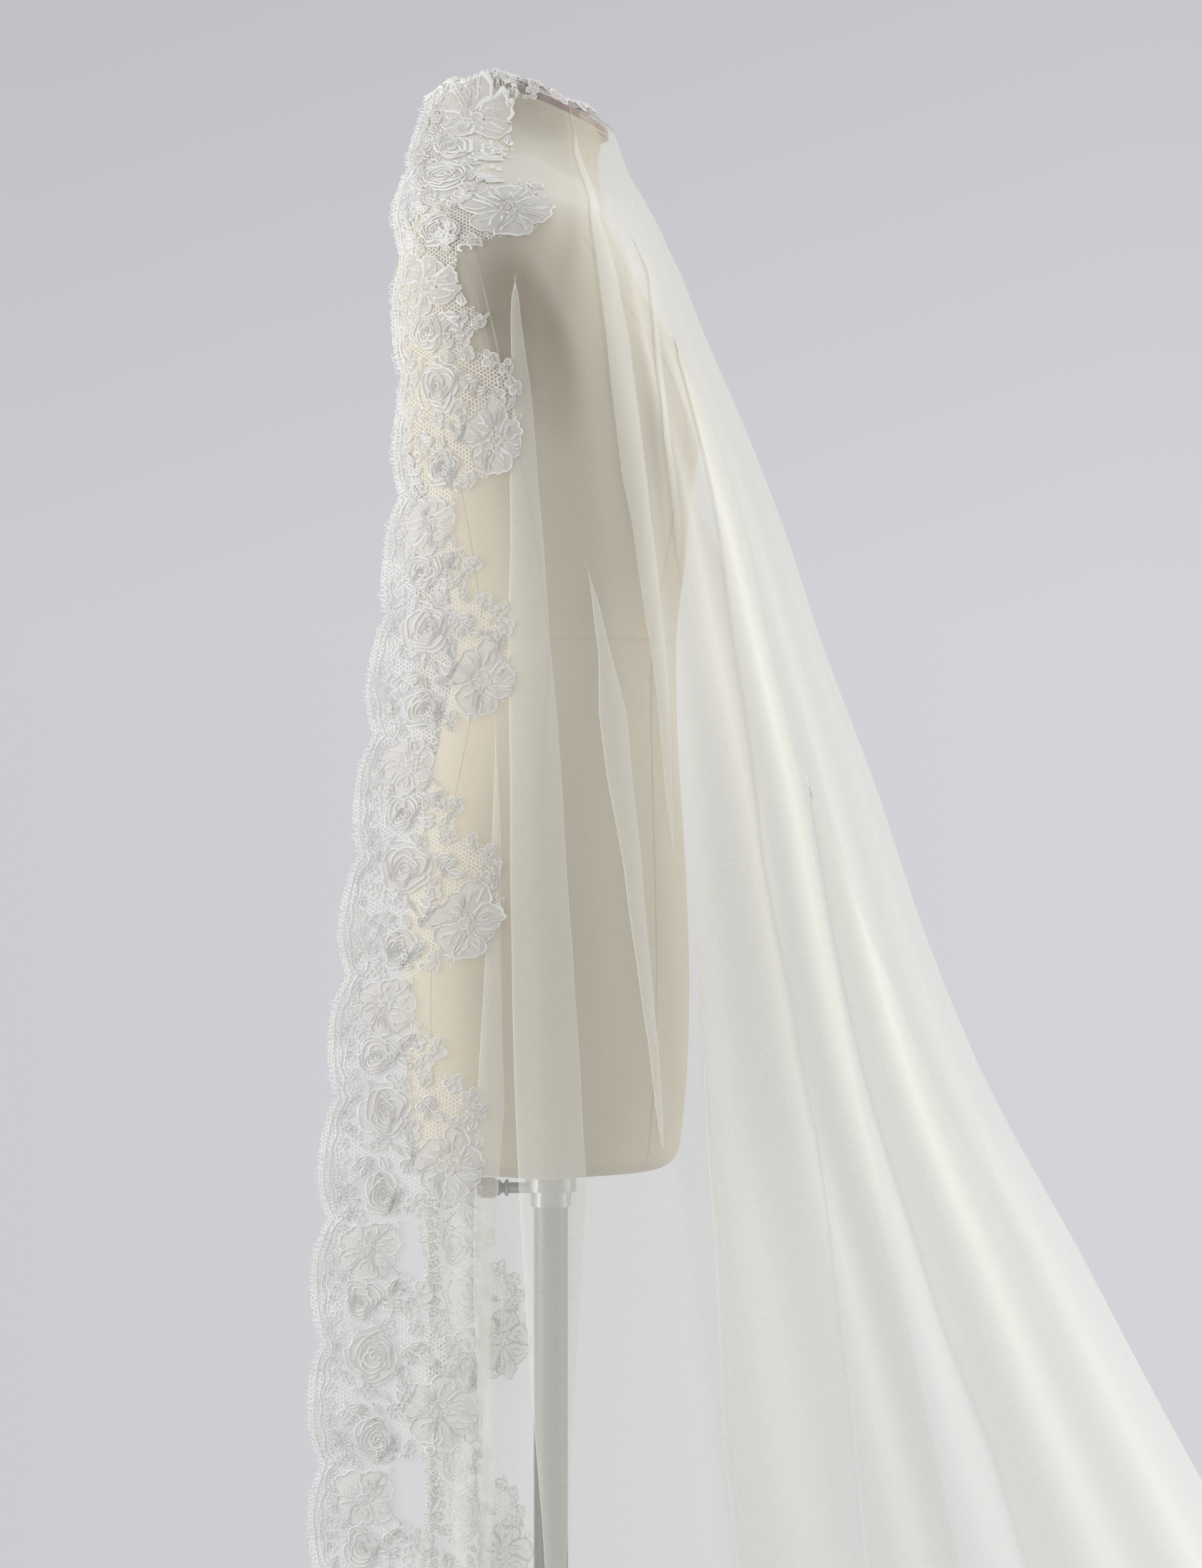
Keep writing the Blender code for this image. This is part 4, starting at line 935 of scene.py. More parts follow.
class LaceBed:
    """Where the lace lies on one side: points and normals by length along the edge and distance in."""

    ALONG = 0.004
    ACROSS = 0.003
    OUTSIDE = 0.012
    REACH = 0.200

    def __init__(self, side):
        """Reads the drape of one side, in even steps down and in from its outer edge."""
        places, edge, self.lengths = edge_run(side)
        self.heights = edge[:, 2]
        self.length = float(self.lengths[-1])
        hanging = edge[:, 2] > LOBE_HEIGHT / 2
        self.lobe = float(np.interp(-LOBE_HEIGHT, -edge[hanging, 2], self.lengths[hanging]))
        self.count = int(self.length / self.ALONG) + 1
        distances = np.arange(-self.OUTSIDE, self.REACH, self.ACROSS)
        rows = []
        for k in range(self.count):
            points, _, run = drape_ring(side, np.interp(k * self.ALONG, self.lengths, places))[1:]
            made = np.stack([np.interp(distances, run, points[:, k]) for k in range(3)], axis=-1)
            start = (points[3] - points[0]) / run[3]
            outside = distances < 0
            made[outside] = points[0] + start * distances[outside, None]
            rows.append(made)
        self.points = np.array(rows)
        along = np.gradient(self.points, axis=0)
        across = np.gradient(self.points, axis=1)
        normal = np.cross(across, along) * side
        self.normals = normal / np.maximum(np.linalg.norm(normal, axis=-1), 1e-9)[..., None]

    def at(self, along, distance, lift):
        """Points at a length along the edge and a distance in from it, lifted off the cloth."""
        i = np.clip(along / self.ALONG, 0, self.count - 1.001)
        j = np.clip((distance + self.OUTSIDE) / self.ACROSS, 0, self.points.shape[1] - 1.001)
        i0, j0 = i.astype(int), j.astype(int)
        fi, fj = (i - i0)[:, None], (j - j0)[:, None]

        def read(table):
            """A table's values between its rows and columns."""
            low = table[i0, j0] * (1 - fj) + table[i0, j0 + 1] * fj
            high = table[i0 + 1, j0] * (1 - fj) + table[i0 + 1, j0 + 1] * fj
            return low * (1 - fi) + high * fi

        normal = read(self.normals)
        normal /= np.linalg.norm(normal, axis=1)[:, None]
        over = np.clip(along - (self.count - 1) * self.ALONG, 0, None)[:, None]
        end = self.points[-1, j0] - self.points[-2, j0]
        return read(self.points) + end / self.ALONG * over + normal * np.asarray(lift)[:, None]


def edge_depth(u):
    """How far in the scalloped edge lies, along one flat repeat with its lobe at 0."""
    return SCALLOP_DEPTH * (1 - np.abs(np.cos(math.pi * u / SCALLOP)) ** 0.6)


def inner_edge(u):
    """How far in the border reaches, along one flat repeat with its lobe at 0."""
    return np.interp(u, *zip(*INNER_EDGE))


def border_reach(bed, along):
    """How far in the border's inner half lies beside the flat pattern: less at the chest, more where
    it laps over the shoulder."""
    height = np.interp(along, bed.lengths, bed.heights)
    lap = np.exp(-((height - SHOULDER_LAP_Z) / 0.040) ** 2)
    return (1 + SHOULDER_LAP * lap) * np.interp(height, REACH_HEIGHTS, REACH_SHARES)


def lace_width(bed, along):
    """How far in from the edge the laid border reaches."""
    flat = inner_edge((along - bed.lobe + REPEAT_HALF) % LACE_REPEAT - REPEAT_HALF)
    width = REACH_FROM + (flat - REACH_FROM) * border_reach(bed, along)
    at_rim = np.interp(np.interp(along, bed.lengths, bed.heights), RIM_FADE, (0.0, 1.0))
    small_lobes = RIM_REACH + RIM_LOBE * np.abs(np.sin(math.pi * along / RIM_LOBE_PITCH)) ** 0.7
    return width + (np.minimum(width, small_lobes) - width) * at_rim


def net_border(bed, name, node):
    """The net of one side, between the two scalloped edges."""
    shape = bmesh.new()
    steps = int(bed.length / NET_ALONG)
    verts, share_across, share_along = flat_grid(shape, NET_COLUMNS, steps)
    along = share_along * bed.length
    outer = edge_depth(along - bed.lobe) + 0.002
    inner = lace_width(bed, along) - 0.006
    distance = outer + (inner - outer) * share_across
    move_to(verts, bed.at(along, distance, np.full_like(along, LACE_LIFT)))
    give_uv(shape, verts, np.column_stack((along, distance)))
    piece = piece_from(shape, name, ground)
    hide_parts(node)
    return piece


beds = {side: LaceBed(side) for side in (-1, 1)}
net_near = net_border(beds[-1], "lace_net_near", "lace_near_side")
net_far = net_border(beds[1], "lace_net_far", "lace_far_side")

# Flowers and cords of the lace border.
# Woven petals and leaves, each outlined with a cotton cord, joined by loops and mini flowers.
# They are laid out flat for one repeat of the pattern, in metres along the edge and in from it, and
# that repeat is laid again and again along the border. The layout is this veil's own.
CORD_WIDTH = 0.0013
CORD_FINE = 0.0010
CORD_RISE = 0.0010
CORD_LIFT = 0.0016
CORD_FINGER = 0.0007
CORD_IVORY = (0.81, 0.803, 0.78)
CORD_LIGHT = (0.83, 0.823, 0.80)
CORD_SHADE = (0.73, 0.723, 0.70)
PETAL_LIFT = 0.0010
PETAL_WHITE = (0.85, 0.84, 0.815)
PETAL_SHADE = (0.73, 0.72, 0.695)
PETAL_COVER = 0.72
PETAL_GLOW = 0.42

clothwork, tree, shader = finish("lace_clothwork", PETAL_WHITE, 0.8)
add_grain(tree, shader, PETAL_WHITE, PETAL_SHADE, 700.0, 0.35, 0.0004)
cover = tree.nodes.new("ShaderNodeValue")
cover.outputs[0].default_value = PETAL_COVER
sheer(tree, shader, PETAL_WHITE, cover.outputs[0], PETAL_GLOW)

thread, tree, shader = finish("lace_cord", CORD_IVORY, 0.7)
add_grain(tree, shader, CORD_LIGHT, CORD_SHADE, 2600.0, 0.1, 0.0002)


def cord_line(cords, path, width=CORD_WIDTH, lift=CORD_LIFT):
    """A raised cord along a flat line of points."""
    path = np.asarray(path, dtype=float)
    run = np.gradient(path, axis=0)
    run /= np.maximum(np.linalg.norm(run, axis=1), 1e-9)[:, None]
    beside = np.column_stack((-run[:, 1], run[:, 0]))
    verts, share, step = flat_grid(cords, 2, len(path) - 1)
    at = np.rint(step * (len(path) - 1)).astype(int)
    flat = path[at] + beside[at] * ((share - 0.5) * width)[:, None]
    raised = lift + (CORD_RISE * width / CORD_WIDTH) * (np.abs(share - 0.5) < 0.1) - 0.0005
    move_to(verts, np.column_stack((flat, raised)))


def woven_round(cloth, middle, radius, sides=6):
    """A small woven round, a little domed."""
    made = bmesh.ops.create_circle(cloth, cap_ends=True, cap_tris=True, segments=sides, radius=radius)
    bmesh.ops.translate(cloth, verts=made["verts"], vec=(middle[0], middle[1], PETAL_LIFT))


def waved_petal(cloth, cords, root, turn, length, width, waves=3, veins=4, bend=0.0):
    """A broad woven petal with a waved tip, a cord round it and short cords along it."""
    root = np.asarray(root, dtype=float)
    ahead = np.array((math.cos(turn), math.sin(turn)))
    beside = np.array((-ahead[1], ahead[0]))

    def spot(s, t):
        """A place on it: s across, from -1 to 1, and t along, from 0 to 1."""
        half = width * (0.24 + 0.76 * np.sin(math.pi / 2 * np.minimum(t / 0.78, 1.0)))
        tip = 0.94 - 0.20 * s ** 2 * t + 0.09 * t ** 4 * np.abs(np.cos(math.pi / 2 * waves * s + turn))
        side = s * half * (1 + 0.05 * np.sin(8 * t + 5 * turn)) + bend * length * t ** 2
        return root + ahead * (length * t * tip)[:, None] + beside * side[:, None]

    across = 4 if length > 0.014 else 3
    verts, s, t = flat_grid(cloth, across, 4)
    s = 2 * s - 1
    crumple = 0.0004 * np.sin(6 * s + 9 * t + 3 * turn)
    lift = PETAL_LIFT + 0.0012 * (1 - s ** 2) * np.sin(math.pi * t) + crumple
    move_to(verts, np.column_stack((spot(s, t), lift)))
    rise = np.linspace(0.04, 1.0, max(4, round(length / 0.0030)))
    over = np.linspace(-1.0, 1.0, 3 * waves + 2)[1:-1]
    line_s = np.concatenate((-np.ones_like(rise), over, np.ones_like(rise)))
    line_t = np.concatenate((rise, np.ones_like(over), rise[::-1]))
    cord_line(cords, spot(line_s, line_t))
    for k in range(veins):
        start = -0.62 + 1.24 * (k + 0.5) / veins
        first = 0.30 + 0.14 * math.sin(4 * k + 3 * turn)
        along = np.linspace(first, first + 0.36 + 0.16 * math.sin(3 * k + 5 * turn), 5)
        sway = 0.22 * np.sin(5 * along + 2 * k + turn)
        cord_line(cords, spot(start * (0.5 + 0.7 * along) + sway, along), CORD_FINE, CORD_LIFT + 0.0009)


def leaf(cloth, cords, root, turn, length, width, bend=0.12):
    """A pointed woven leaf with a cord round it and one along its middle."""
    root = np.asarray(root, dtype=float)
    ahead = np.array((math.cos(turn), math.sin(turn)))
    beside = np.array((-ahead[1], ahead[0]))

    def spot(s, t):
        """A place on it: s across, from -1 to 1, and t along, from 0 to 1."""
        half = width * np.sin(math.pi * np.clip(t, 0.0, 1.0) ** 0.8) ** 0.9
        return root + ahead * (length * t)[:, None] + beside * (s * half + bend * length * t ** 2)[:, None]

    verts, s, t = flat_grid(cloth, 2, 3)
    s = 2 * s - 1
    t = 0.05 + 0.9 * t
    move_to(verts, np.column_stack((spot(s, t), PETAL_LIFT + 0.0006 * (1 - np.abs(s)))))
    rise = np.linspace(0.0, 1.0, max(4, round(length / 0.0026)))
    line_s = np.concatenate((-np.ones_like(rise), np.ones_like(rise[1:])))
    line_t = np.concatenate((rise, rise[::-1][1:]))
    cord_line(cords, spot(line_s, line_t))
    if length > 0.008:
        along = np.linspace(0.12, 0.75, 4)
        cord_line(cords, spot(np.zeros_like(along), along), CORD_FINE, CORD_LIFT + 0.0004)


def ring(cords, middle, radius, turn, share=0.9, steps=7, width=CORD_WIDTH):
    """A small ring or arch of cord."""
    angle = turn + 2 * math.pi * share * np.linspace(-0.5, 0.5, steps + 1)
    spots = np.column_stack((middle[0] + radius * np.cos(angle), middle[1] + radius * np.sin(angle)))
    cord_line(cords, spots, width)


def mini_flower(cloth, cords, middle, size, turn):
    """Five small round petals, each a loop of cord over a woven round, about a ring."""
    for k in range(5):
        angle = turn + 2 * math.pi * k / 5
        reach = size * (0.60 + 0.05 * math.sin(3 * k + turn))
        spot = (middle[0] + reach * math.cos(angle), middle[1] + reach * math.sin(angle))
        woven_round(cloth, spot, 0.36 * size)
        ring(cords, spot, 0.37 * size, angle, 0.80, 6, CORD_FINE)
    ring(cords, middle, 0.17 * size, turn, 1.0, 4, CORD_FINE)


def scroll(cords, middle, size, turn):
    """A curl of cord."""
    angle = np.linspace(0.0, 1.55 * math.pi, 9)
    reach = size * (1.0 - 0.72 * angle / angle[-1])
    cord_line(cords, np.column_stack((middle[0] + reach * np.cos(angle + turn),
                                      middle[1] + reach * np.sin(angle + turn))))


def open_flower(cloth, cords, middle, radius, petals, turn):
    """A wide open flower: waved petals round five small inner ones."""
    for k in range(petals):
        angle = turn + 2 * math.pi * k / petals
        inner = 0.26 * radius
        uneven = 1 + 0.10 * math.sin(2.4 * k + 7 * turn)
        root = (middle[0] + inner * math.cos(angle), middle[1] + inner * math.sin(angle))
        width = 0.80 * radius * math.sin(math.pi / petals) * (1 + 0.12 * math.cos(1.9 * k + turn))
        waved_petal(cloth, cords, root, angle, (radius - inner) * uneven, width, waves=2 + k % 2,
                    bend=0.12 * math.sin(2.1 * k + turn))
    mini_flower(cloth, cords, middle, 0.30 * radius, turn)


def rose(cloth, cords, middle, radius, turn):
    """A full rose seen from above: broken rings of cord over a woven round, each inside the last."""
    woven_round(cloth, middle, 0.94 * radius, 12)
    for number, (share, arcs) in enumerate(((0.16, 1), (0.33, 2), (0.50, 2), (0.68, 3), (0.84, 3), (1.0, 4))):
        for k in range(arcs):
            start = turn + 2 * math.pi * k / arcs + 0.8 * number
            span = 2 * math.pi / arcs * (0.92 + 0.10 * math.sin(2.3 * k + number))
            steps = max(5, round(span * share * radius / 0.0024))
            part = np.linspace(0.0, 1.0, steps + 1)
            angle = start + span * part
            reach = radius * (share - 0.13 * (2 * part - 1) ** 4 + 0.030 * np.sin(5 * part + 2 * k + turn))
            cord_line(cords, np.column_stack((middle[0] + reach * np.cos(angle),
                                              middle[1] + reach * np.sin(angle))), lift=CORD_LIFT + 0.0003)


def sprig(cloth, cords, root, turn, length, leaves=3):
    """A curved stem with pointed leaves on both sides and one at its end."""
    step = np.linspace(0, 1, 7)
    bend = turn + 0.6 * step
    line = np.cumsum(np.column_stack((np.cos(bend), np.sin(bend))) * length / 7, axis=0) + root
    cord_line(cords, line)
    leaf(cloth, cords, line[-1], bend[-1], 0.44 * length, 0.12 * length)
    for k in range(1, leaves):
        at = line[2 * k]
        for side in (-1, 1):
            leaf(cloth, cords, at, bend[2 * k] + side * 0.85, 0.42 * length, 0.11 * length, 0.12 * side)


# Each motif's kind, place along the repeat, place in from the edge, radius, petals and turn.
MOTIFS = (
    ("open", 0.004, 0.108, 0.028, 7, 0.2), ("open", 0.070, 0.049, 0.023, 6, 0.9),
    ("rose", -0.036, 0.055, 0.021, 0, 0.4), ("rose", 0.026, 0.058, 0.016, 0, 1.3),
    ("rose", -0.079, 0.046, 0.015, 0, 2.1), ("mini", -0.049, 0.119, 0.0080, 5, 0.3),
    ("mini", -0.036, 0.126, 0.0072, 5, 0.9), ("mini", -0.058, 0.106, 0.0076, 5, 0.1),
    ("mini", -0.086, 0.092, 0.0080, 5, 1.1), ("mini", -0.074, 0.084, 0.0074, 5, 0.5),
    ("mini", -0.060, 0.086, 0.0074, 5, 0.2), ("mini", -0.088, 0.076, 0.0066, 5, 0.6),
    ("mini", -0.028, 0.114, 0.0066, 5, 1.0), ("mini", 0.035, 0.084, 0.0070, 5, 0.4),
)
# Each sprig's root, along and in, its turn and its length.
SPRIGS = (
    (-0.052, 0.076, 0.5, 0.024), (0.046, 0.054, 2.2, 0.022), (-0.008, 0.030, 0.4, 0.024),
    (0.046, 0.030, 2.9, 0.022), (-0.062, 0.066, 2.8, 0.018), (0.004, 0.072, 2.5, 0.018),
    (-0.006, 0.066, 0.5, 0.016), (0.088, 0.062, 0.4, 0.016),
)
# Rounds where the net stays open.
OPEN_NET = ((-0.033, 0.098, 0.013), (0.018, 0.079, 0.006))
# Cords along the scalloped edge: how far in, how wide, how wavy.
EDGE_CORDS = ((0.0085, 0.0012, 0.0), (0.0140, 0.0018, 0.0010), (0.0178, 0.0010, 0.0014))
EDGE_FINGERS = 42
EDGE_BEADS = 34
EDGE_MINI = 17
FILL_TRIES = 2600


def lay_repeat():
    """One flat repeat of the border: its woven parts and its cords."""
    cloth, cords = bmesh.new(), bmesh.new()
    taken = []
    for kind, u, v, radius, petals, turn in MOTIFS:
        taken.append((u, v, radius))
        if kind == "rose":
            rose(cloth, cords, (u, v), radius, turn)
        elif kind == "open":
            open_flower(cloth, cords, (u, v), radius, petals, turn)
        else:
            mini_flower(cloth, cords, (u, v), radius, turn)
    for u, v, turn, length in SPRIGS:
        sprig(cloth, cords, (u, v), turn, length)
        taken.append((u + 0.6 * length * math.cos(turn + 0.3), v + 0.6 * length * math.sin(turn + 0.3),
                      0.42 * length))
    along = np.linspace(-REPEAT_HALF, REPEAT_HALF, 84)
    for inset, width, wave in EDGE_CORDS:
        wander = wave * np.sin(2 * math.pi * along / LACE_REPEAT * 9 + 40 * inset)
        in_from_edge = edge_depth(along) * (1 - 10 * inset) + inset + wander
        cord_line(cords, np.column_stack((along, in_from_edge)), width)
    for k in range(EDGE_FINGERS):
        u = -REPEAT_HALF + LACE_REPEAT * (k + 0.5 + 0.22 * math.sin(2.7 * k)) / EDGE_FINGERS
        part = np.linspace(-1.0, 1.0, 8)
        reach = 0.0062 + 0.0022 * math.sin(1.7 * k) * math.cos(0.6 * k)
        round_off = np.sqrt(np.clip(1 - part ** 2, 0.0, 1.0))
        lean = 0.0012 * math.sin(2.2 * k + 1) * round_off
        depth = float(edge_depth(u)) + 0.0085 - reach * round_off
        beside = u + lean + 0.0018 * np.sin(math.pi / 2 * part)
        cord_line(cords, np.column_stack((beside, depth)), CORD_FINGER)
    for k in range(EDGE_BEADS):
        u = -REPEAT_HALF + LACE_REPEAT * (k + 0.5) / EDGE_BEADS
        ring(cords, (u, float(edge_depth(u)) * 0.88 + 0.0112), 0.0017, 2.4 * k, 0.9, 6, CORD_FINE)
    for k in range(EDGE_MINI):
        u = -REPEAT_HALF + LACE_REPEAT * (k + 0.5) / EDGE_MINI
        v = float(edge_depth(u)) * 0.8 + 0.0215
        mini_flower(cloth, cords, (u, v), 0.0046, 1.3 * k)
        taken.append((u, v, 0.0046))
    taken += OPEN_NET
    steady = np.random.default_rng(7)
    for k in range(FILL_TRIES):
        u = steady.uniform(-REPEAT_HALF, REPEAT_HALF)
        v = steady.uniform(0.024, LACE_WIDE)
        size = steady.uniform(0.0034, 0.0070) if k > 500 else steady.uniform(0.0058, 0.0080)
        turn = steady.uniform(0, 2 * math.pi)
        if v > inner_edge(u) - size * 0.9 or v < edge_depth(u) + 0.020:
            continue
        wraps = [(a + shift, b, c) for a, b, c in taken for shift in (-LACE_REPEAT, 0, LACE_REPEAT)]
        if any(math.hypot(u - a, v - b) < 0.90 * (c + size) for a, b, c in wraps):
            continue
        taken.append((u, v, size))
        if size > 0.0058:
            mini_flower(cloth, cords, (u, v), size * 0.95, turn)
        elif size > 0.0047:
            root = (u - size * math.cos(turn), v - size * math.sin(turn))
            leaf(cloth, cords, root, turn, 2 * size, 0.55 * size)
        elif size > 0.0039:
            scroll(cords, (u, v), size * 0.9, turn)
        else:
            ring(cords, (u, v), size * 0.75, turn, 0.9, 6, CORD_FINE)
    meshes = []
    for name, shape in (("flat_cloth", cloth), ("flat_cords", cords)):
        meshes.append(bpy.data.meshes.new(name))
        shape.to_mesh(meshes[-1])
        shape.free()
    return meshes


flat_cloth, flat_cords = lay_repeat()


def unevenness(along, inward):
    """How far a spot of the flat pattern is off its place: no two flowers come out alike."""
    fade = np.clip((inward - 0.014) / 0.014, 0.0, 1.0)
    off_along = (0.0019 * np.sin(97 * along + 130 * inward)
                 + 0.0011 * np.sin(233 * along - 310 * inward + 1.3))
    off_inward = (0.0019 * np.sin(113 * along - 150 * inward + 0.7)
                  + 0.0011 * np.sin(271 * along + 290 * inward))
    return np.column_stack((off_along * fade, off_inward * fade))


def lay_border(bed, flat_repeat, look, name):
    """Lays a flat repeat again and again on one side's border."""
    shape = bmesh.new()
    first = math.floor((0 - bed.lobe) / LACE_REPEAT - 0.5)
    last = math.ceil((bed.length - bed.lobe) / LACE_REPEAT + 0.5)
    for k in range(first, last + 1):
        before = len(shape.verts)
        shape.from_mesh(flat_repeat)
        shape.verts.ensure_lookup_table()
        bmesh.ops.translate(shape, verts=shape.verts[before:], vec=(bed.lobe + k * LACE_REPEAT, 0.0, 0.0))
    flat = np.array([vert.co for vert in shape.verts])
    flat[:, :2] += unevenness(flat[:, 0], flat[:, 1])
    past = np.maximum(flat[:, 1] - REACH_FROM, 0.0)
    distance = flat[:, 1] + past * (border_reach(bed, flat[:, 0]) - 1)
    flutter = 0.0022 * np.sin(2 * math.pi * flat[:, 0] / 0.063) * np.exp(-distance / 0.03)
    move_to(shape.verts, bed.at(flat[:, 0], distance, flat[:, 2] + LACE_LIFT + flutter))
    height = np.interp(flat[:, 0], bed.lengths, bed.heights)
    gone = (flat[:, 0] < 0.0) | (flat[:, 0] > bed.length) | (
        (height > RIM_TRIMMED_Z) & (distance > lace_width(bed, flat[:, 0]) + 0.001))
    out = [vert for vert, left_out in zip(shape.verts, gone) if left_out]
    bmesh.ops.delete(shape, geom=out, context="VERTS")
    bmesh.ops.recalc_face_normals(shape, faces=shape.faces)
    return piece_from(shape, name, look)


for side, word, net_piece in ((-1, "near", net_near), (1, "far", net_far)):
    flowers = [lay_border(beds[side], flat_cloth, clothwork, "lace_flowers_" + word),
               lay_border(beds[side], flat_cords, thread, "lace_cords_" + word)]

# Crown of the border, over the neck cap.
# The same border crosses the cap from one side to the other; its scalloped edge stands out behind
# the neck, and its inner lobe ends near the cap's front.
BACK_EDGE_X = -0.101
BACK_EDGE_HALF = 0.030
BACK_EDGE_DROP = 0.34
CROWN_RINGS = 34
CROWN_STEPS = 90
CROWN_END_X = 0.0475
CROWN_LOOSE = 0.0032
OVER_RIM_X = (-0.055, -0.045, -0.015, 0.010, 0.035, 0.046)
OVER_RIM = (0.001, 0.020, 0.016, 0.008, 0.006, 0.001)

rim_near = drape_ring(-1, 0.0)[1]
rim_far = drape_ring(1, 0.0)[1]


def crown_point(x, y, lift):
    """Points on top of the cap and behind it, by their place in plan; what is past the rim hangs down."""
    wide = np.interp(x, rim_near[:, 0], np.abs(rim_near[:, 1]))
    past = np.maximum(np.abs(y) - wide, 0.0) * (x > -0.06)
    y = np.sign(y) * (np.abs(y) - past + 0.0025 * np.minimum(past / 0.003, 1.0))
    over = np.maximum(DROOP_FROM_X - x, 0.0)
    stand = 0.0075 * np.exp(-((x + 0.079) / 0.012) ** 2) - 0.004 * np.exp(-((x + 0.060) / 0.005) ** 2)
    stand = stand * np.clip(1 - np.abs(y) / np.maximum(wide, 0.001), 0, 1) ** 0.5
    drop = BACK_EDGE_DROP + (0.85 - BACK_EDGE_DROP) * np.clip(np.abs(y) / np.maximum(wide, 0.001), 0, 1) ** 2
    ease_over = 0.0045 * np.exp(-((x - DROOP_FROM_X) / 0.007) ** 2) * (x < -0.0465)
    z = CAP_TOP_Z - CAP_SLOPE * np.maximum(x, DROOP_FROM_X) - drop * over - ease_over + stand - past
    slope = np.where(over > 0, -drop, CAP_SLOPE)
    size = np.hypot(slope, 1.0)
    loose = np.clip((x + 0.040) / 0.02, 0.0, 1.0) * np.clip((0.052 - x) / 0.02, 0.0, 1.0)
    lift = lift + (CROWN_LOOSE + 0.0015 * np.sin(150 * x + 55 * y)) * loose
    return np.column_stack((x + slope / size * lift, y, z + lift / size))


shape = bmesh.new()
verts, share_in, share_round = flat_grid(shape, CROWN_RINGS, CROWN_STEPS)
rim = np.vstack((rim_near[::30], rim_near[-1:], rim_far[::-1][::30], rim_far[:1]))
spots = share_round * (len(rim) - 1)
rim_at = np.stack([np.interp(spots, np.arange(len(rim)), rim[:, k]) for k in range(3)], axis=-1)
edge_y = BACK_EDGE_HALF * (2 * share_round - 1)
crown_x = BACK_EDGE_X + (rim_at[:, 0] - BACK_EDGE_X) * share_in
crown_y = edge_y + (rim_at[:, 1] - edge_y) * share_in
move_to(verts, crown_point(crown_x, crown_y, np.full_like(crown_x, 0.0008)))
give_uv(shape, verts, np.column_stack((crown_x, crown_y)))
bmesh.ops.recalc_face_normals(shape, faces=shape.faces)
net_crown = piece_from(shape, "lace_net_crown", ground)
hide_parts("lace_crown")

for flat_repeat, look, name in ((flat_cloth, clothwork, "lace_flowers_crown"),
                                (flat_cords, thread, "lace_cords_crown")):
    shape = bmesh.new()
    shape.from_mesh(flat_repeat)
    flat = np.array([vert.co for vert in shape.verts])
    flat[:, :2] += unevenness(flat[:, 0], flat[:, 1])
    x = BACK_EDGE_X - 0.002 + flat[:, 1] * 1.02
    wide = np.interp(x, rim_near[:, 0], np.abs(rim_near[:, 1]), right=0.0)
    most = np.maximum(wide, BACK_EDGE_HALF * (x < -0.09)) + np.interp(x, OVER_RIM_X, OVER_RIM)
    outside = (np.abs(flat[:, 0]) > most) | (x > CROWN_END_X)
    out = [vert for vert, gone in zip(shape.verts, outside) if gone]
    move_to(shape.verts, crown_point(x, flat[:, 0], flat[:, 2] + 0.0012))
    bmesh.ops.delete(shape, geom=out, context="VERTS")
    bmesh.ops.recalc_face_normals(shape, faces=shape.faces)
    piece_from(shape, name, look)

# Floor, light and camera.
# A plain pale painted floor in a soft, evenly lit room, with a large softbox on a stand at each
# side. The camera stands level with the form's waist, on the form's right.
FLOOR_RADIUS = 2.1
FLOOR_GREY = (0.50, 0.495, 0.50)
FLOOR_LIGHT = (0.52, 0.515, 0.52)
FLOOR_DARK = (0.48, 0.475, 0.48)
BACKDROP_GREY = (0.660, 0.652, 0.690)
ROOM_LIGHT = (0.96, 0.97, 1.0)
SOFTBOX_LIGHT = (1.0, 0.985, 0.955)
SOFTBOX_SIZE = (1.6, 2.4)
SOFTBOXES = (("left_softbox", (-3.0, -0.9, 1.5), 68.0), ("right_softbox", (3.2, -0.4, 1.6), 54.0))
SOFTBOX_AIM = (0.05, 0.0, 1.0)
CAMERA_PLACE = (0.0404, -4.2, 1.003)
CAMERA_LENS = 119.6

shape = bmesh.new()
bmesh.ops.create_circle(shape, cap_ends=True, segments=96, radius=FLOOR_RADIUS)
bmesh.ops.translate(shape, verts=shape.verts, vec=(0.3, 0.0, -0.0006))
floor_mesh = bpy.data.meshes.new("floor")
shape.to_mesh(floor_mesh)
shape.free()
floor_look, tree, shader = finish("floor_paint", FLOOR_GREY, 0.8)
add_grain(tree, shader, FLOOR_LIGHT, FLOOR_DARK, 40.0, 0.6, 0.0001)
floor_mesh.materials.append(floor_look)
floor = bpy.data.objects.new("floor", floor_mesh)
bpy.context.scene.collection.objects.link(floor)

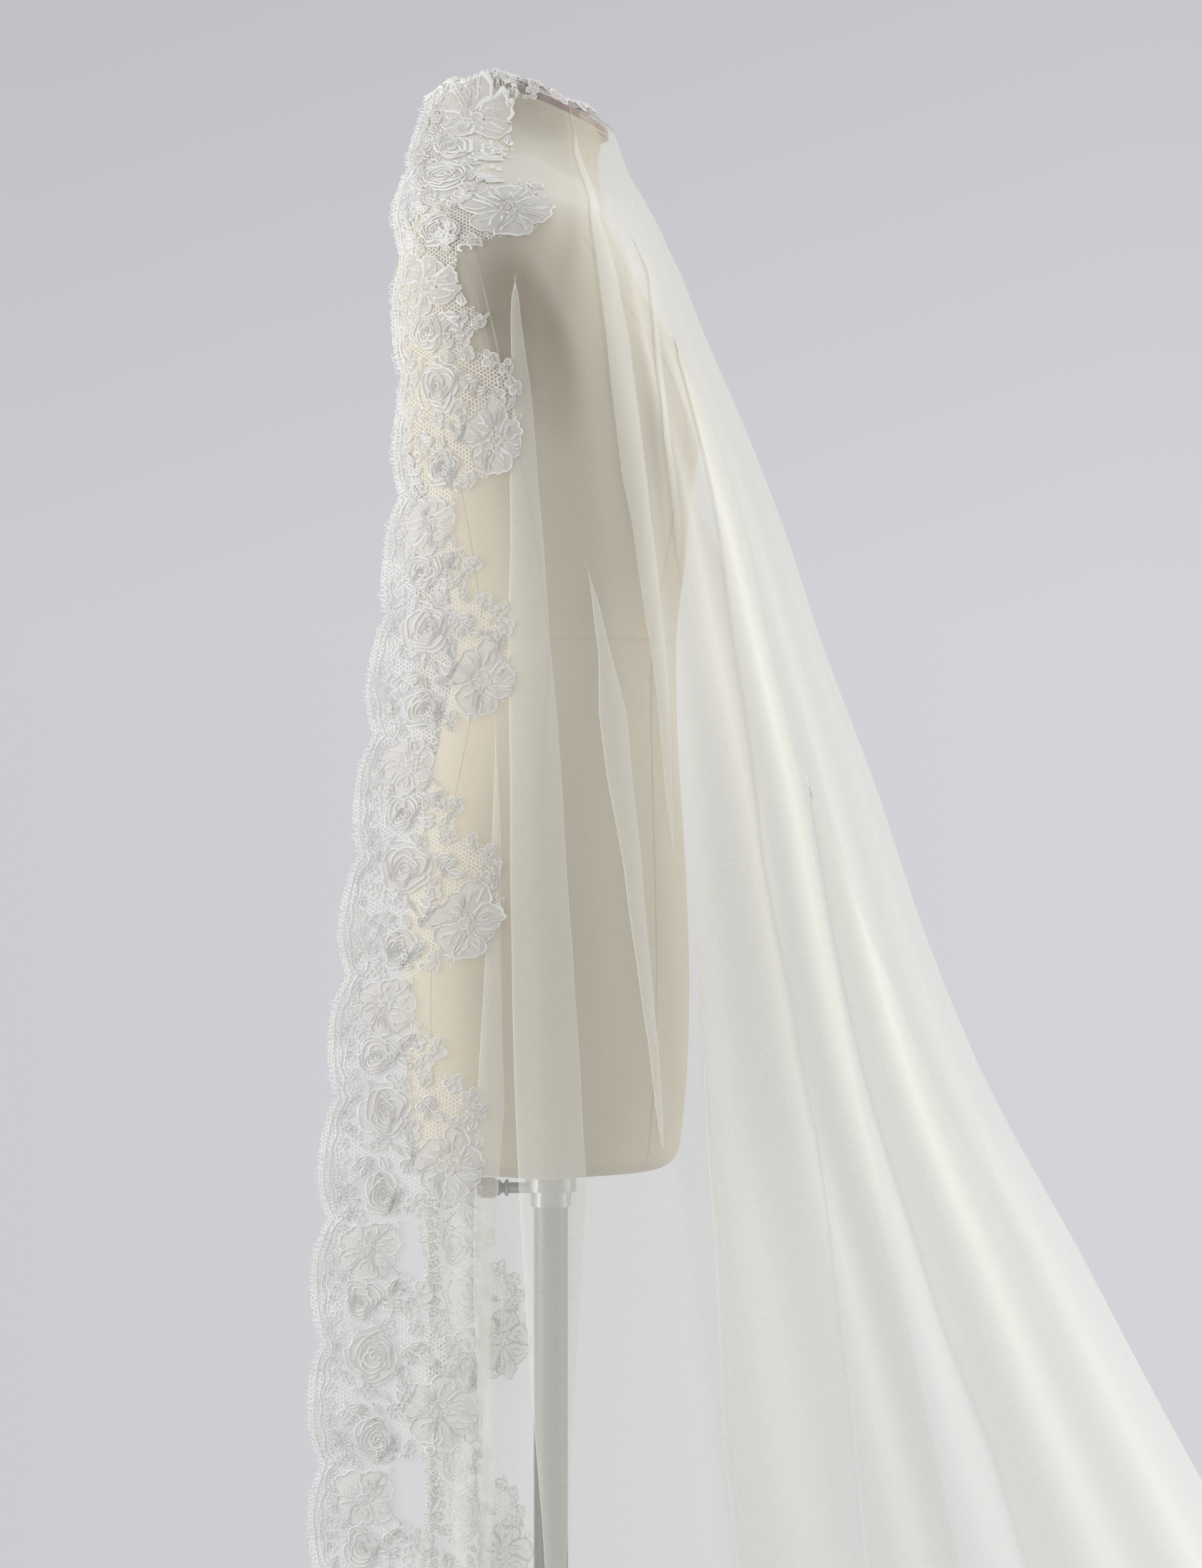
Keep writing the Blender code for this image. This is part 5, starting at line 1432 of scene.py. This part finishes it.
room = bpy.data.worlds.new("room")
room.use_nodes = True
tree = room.node_tree
backdrop = tree.nodes["Background"]
backdrop.inputs["Color"].default_value = (*BACKDROP_GREY, 1.0)
fill = tree.nodes.new("ShaderNodeBackground")
fill.inputs["Color"].default_value = (*ROOM_LIGHT, 1.0)
sky = tree.nodes.new("ShaderNodeTexCoord")
parts = tree.nodes.new("ShaderNodeSeparateXYZ")
tree.links.new(sky.outputs["Generated"], parts.inputs[0])
behind = map_range(tree, parts.outputs["Y"], -0.3, 0.8, 0.53, 0.88)
above = math_node(tree, "MULTIPLY", math_node(tree, "MAXIMUM", parts.outputs["Z"], 0.0), 0.60)
tree.links.new(math_node(tree, "ADD", behind, above), fill.inputs["Strength"])
darker_left = map_range(tree, parts.outputs["X"], -0.11, 0.10, 0.925, 1.0)
darker_above = map_range(tree, parts.outputs["Z"], 0.03, 0.145, 1.0, 0.88)
tree.links.new(math_node(tree, "MULTIPLY", darker_left, darker_above), backdrop.inputs["Strength"])
seen = tree.nodes.new("ShaderNodeLightPath")
choice = tree.nodes.new("ShaderNodeMixShader")
tree.links.new(seen.outputs["Is Camera Ray"], choice.inputs[0])
tree.links.new(fill.outputs[0], choice.inputs[1])
tree.links.new(backdrop.outputs[0], choice.inputs[2])
tree.links.new(choice.outputs[0], tree.nodes["World Output"].inputs["Surface"])
bpy.context.scene.world = room

for name, place, power in SOFTBOXES:
    lamp = bpy.data.lights.new(name, "AREA")
    lamp.shape = "RECTANGLE"
    lamp.size, lamp.size_y = SOFTBOX_SIZE
    lamp.energy = power
    lamp.color = SOFTBOX_LIGHT
    softbox = bpy.data.objects.new(name, lamp)
    softbox.location = place
    softbox.rotation_mode = "QUATERNION"
    softbox.rotation_quaternion = (Vector(SOFTBOX_AIM) - Vector(place)).to_track_quat("-Z", "Y")
    bpy.context.scene.collection.objects.link(softbox)

lens = bpy.data.cameras.new("camera")
lens.lens = CAMERA_LENS
lens.sensor_width = 36.0
lens.clip_end = 50.0
camera = bpy.data.objects.new("camera", lens)
camera.location = CAMERA_PLACE
camera.rotation_euler = (math.pi / 2, 0.0, 0.0)
bpy.context.scene.collection.objects.link(camera)
bpy.context.scene.camera = camera
bpy.context.scene.view_settings.view_transform = "Standard"
bpy.context.scene.cycles.transparent_max_bounces = 32
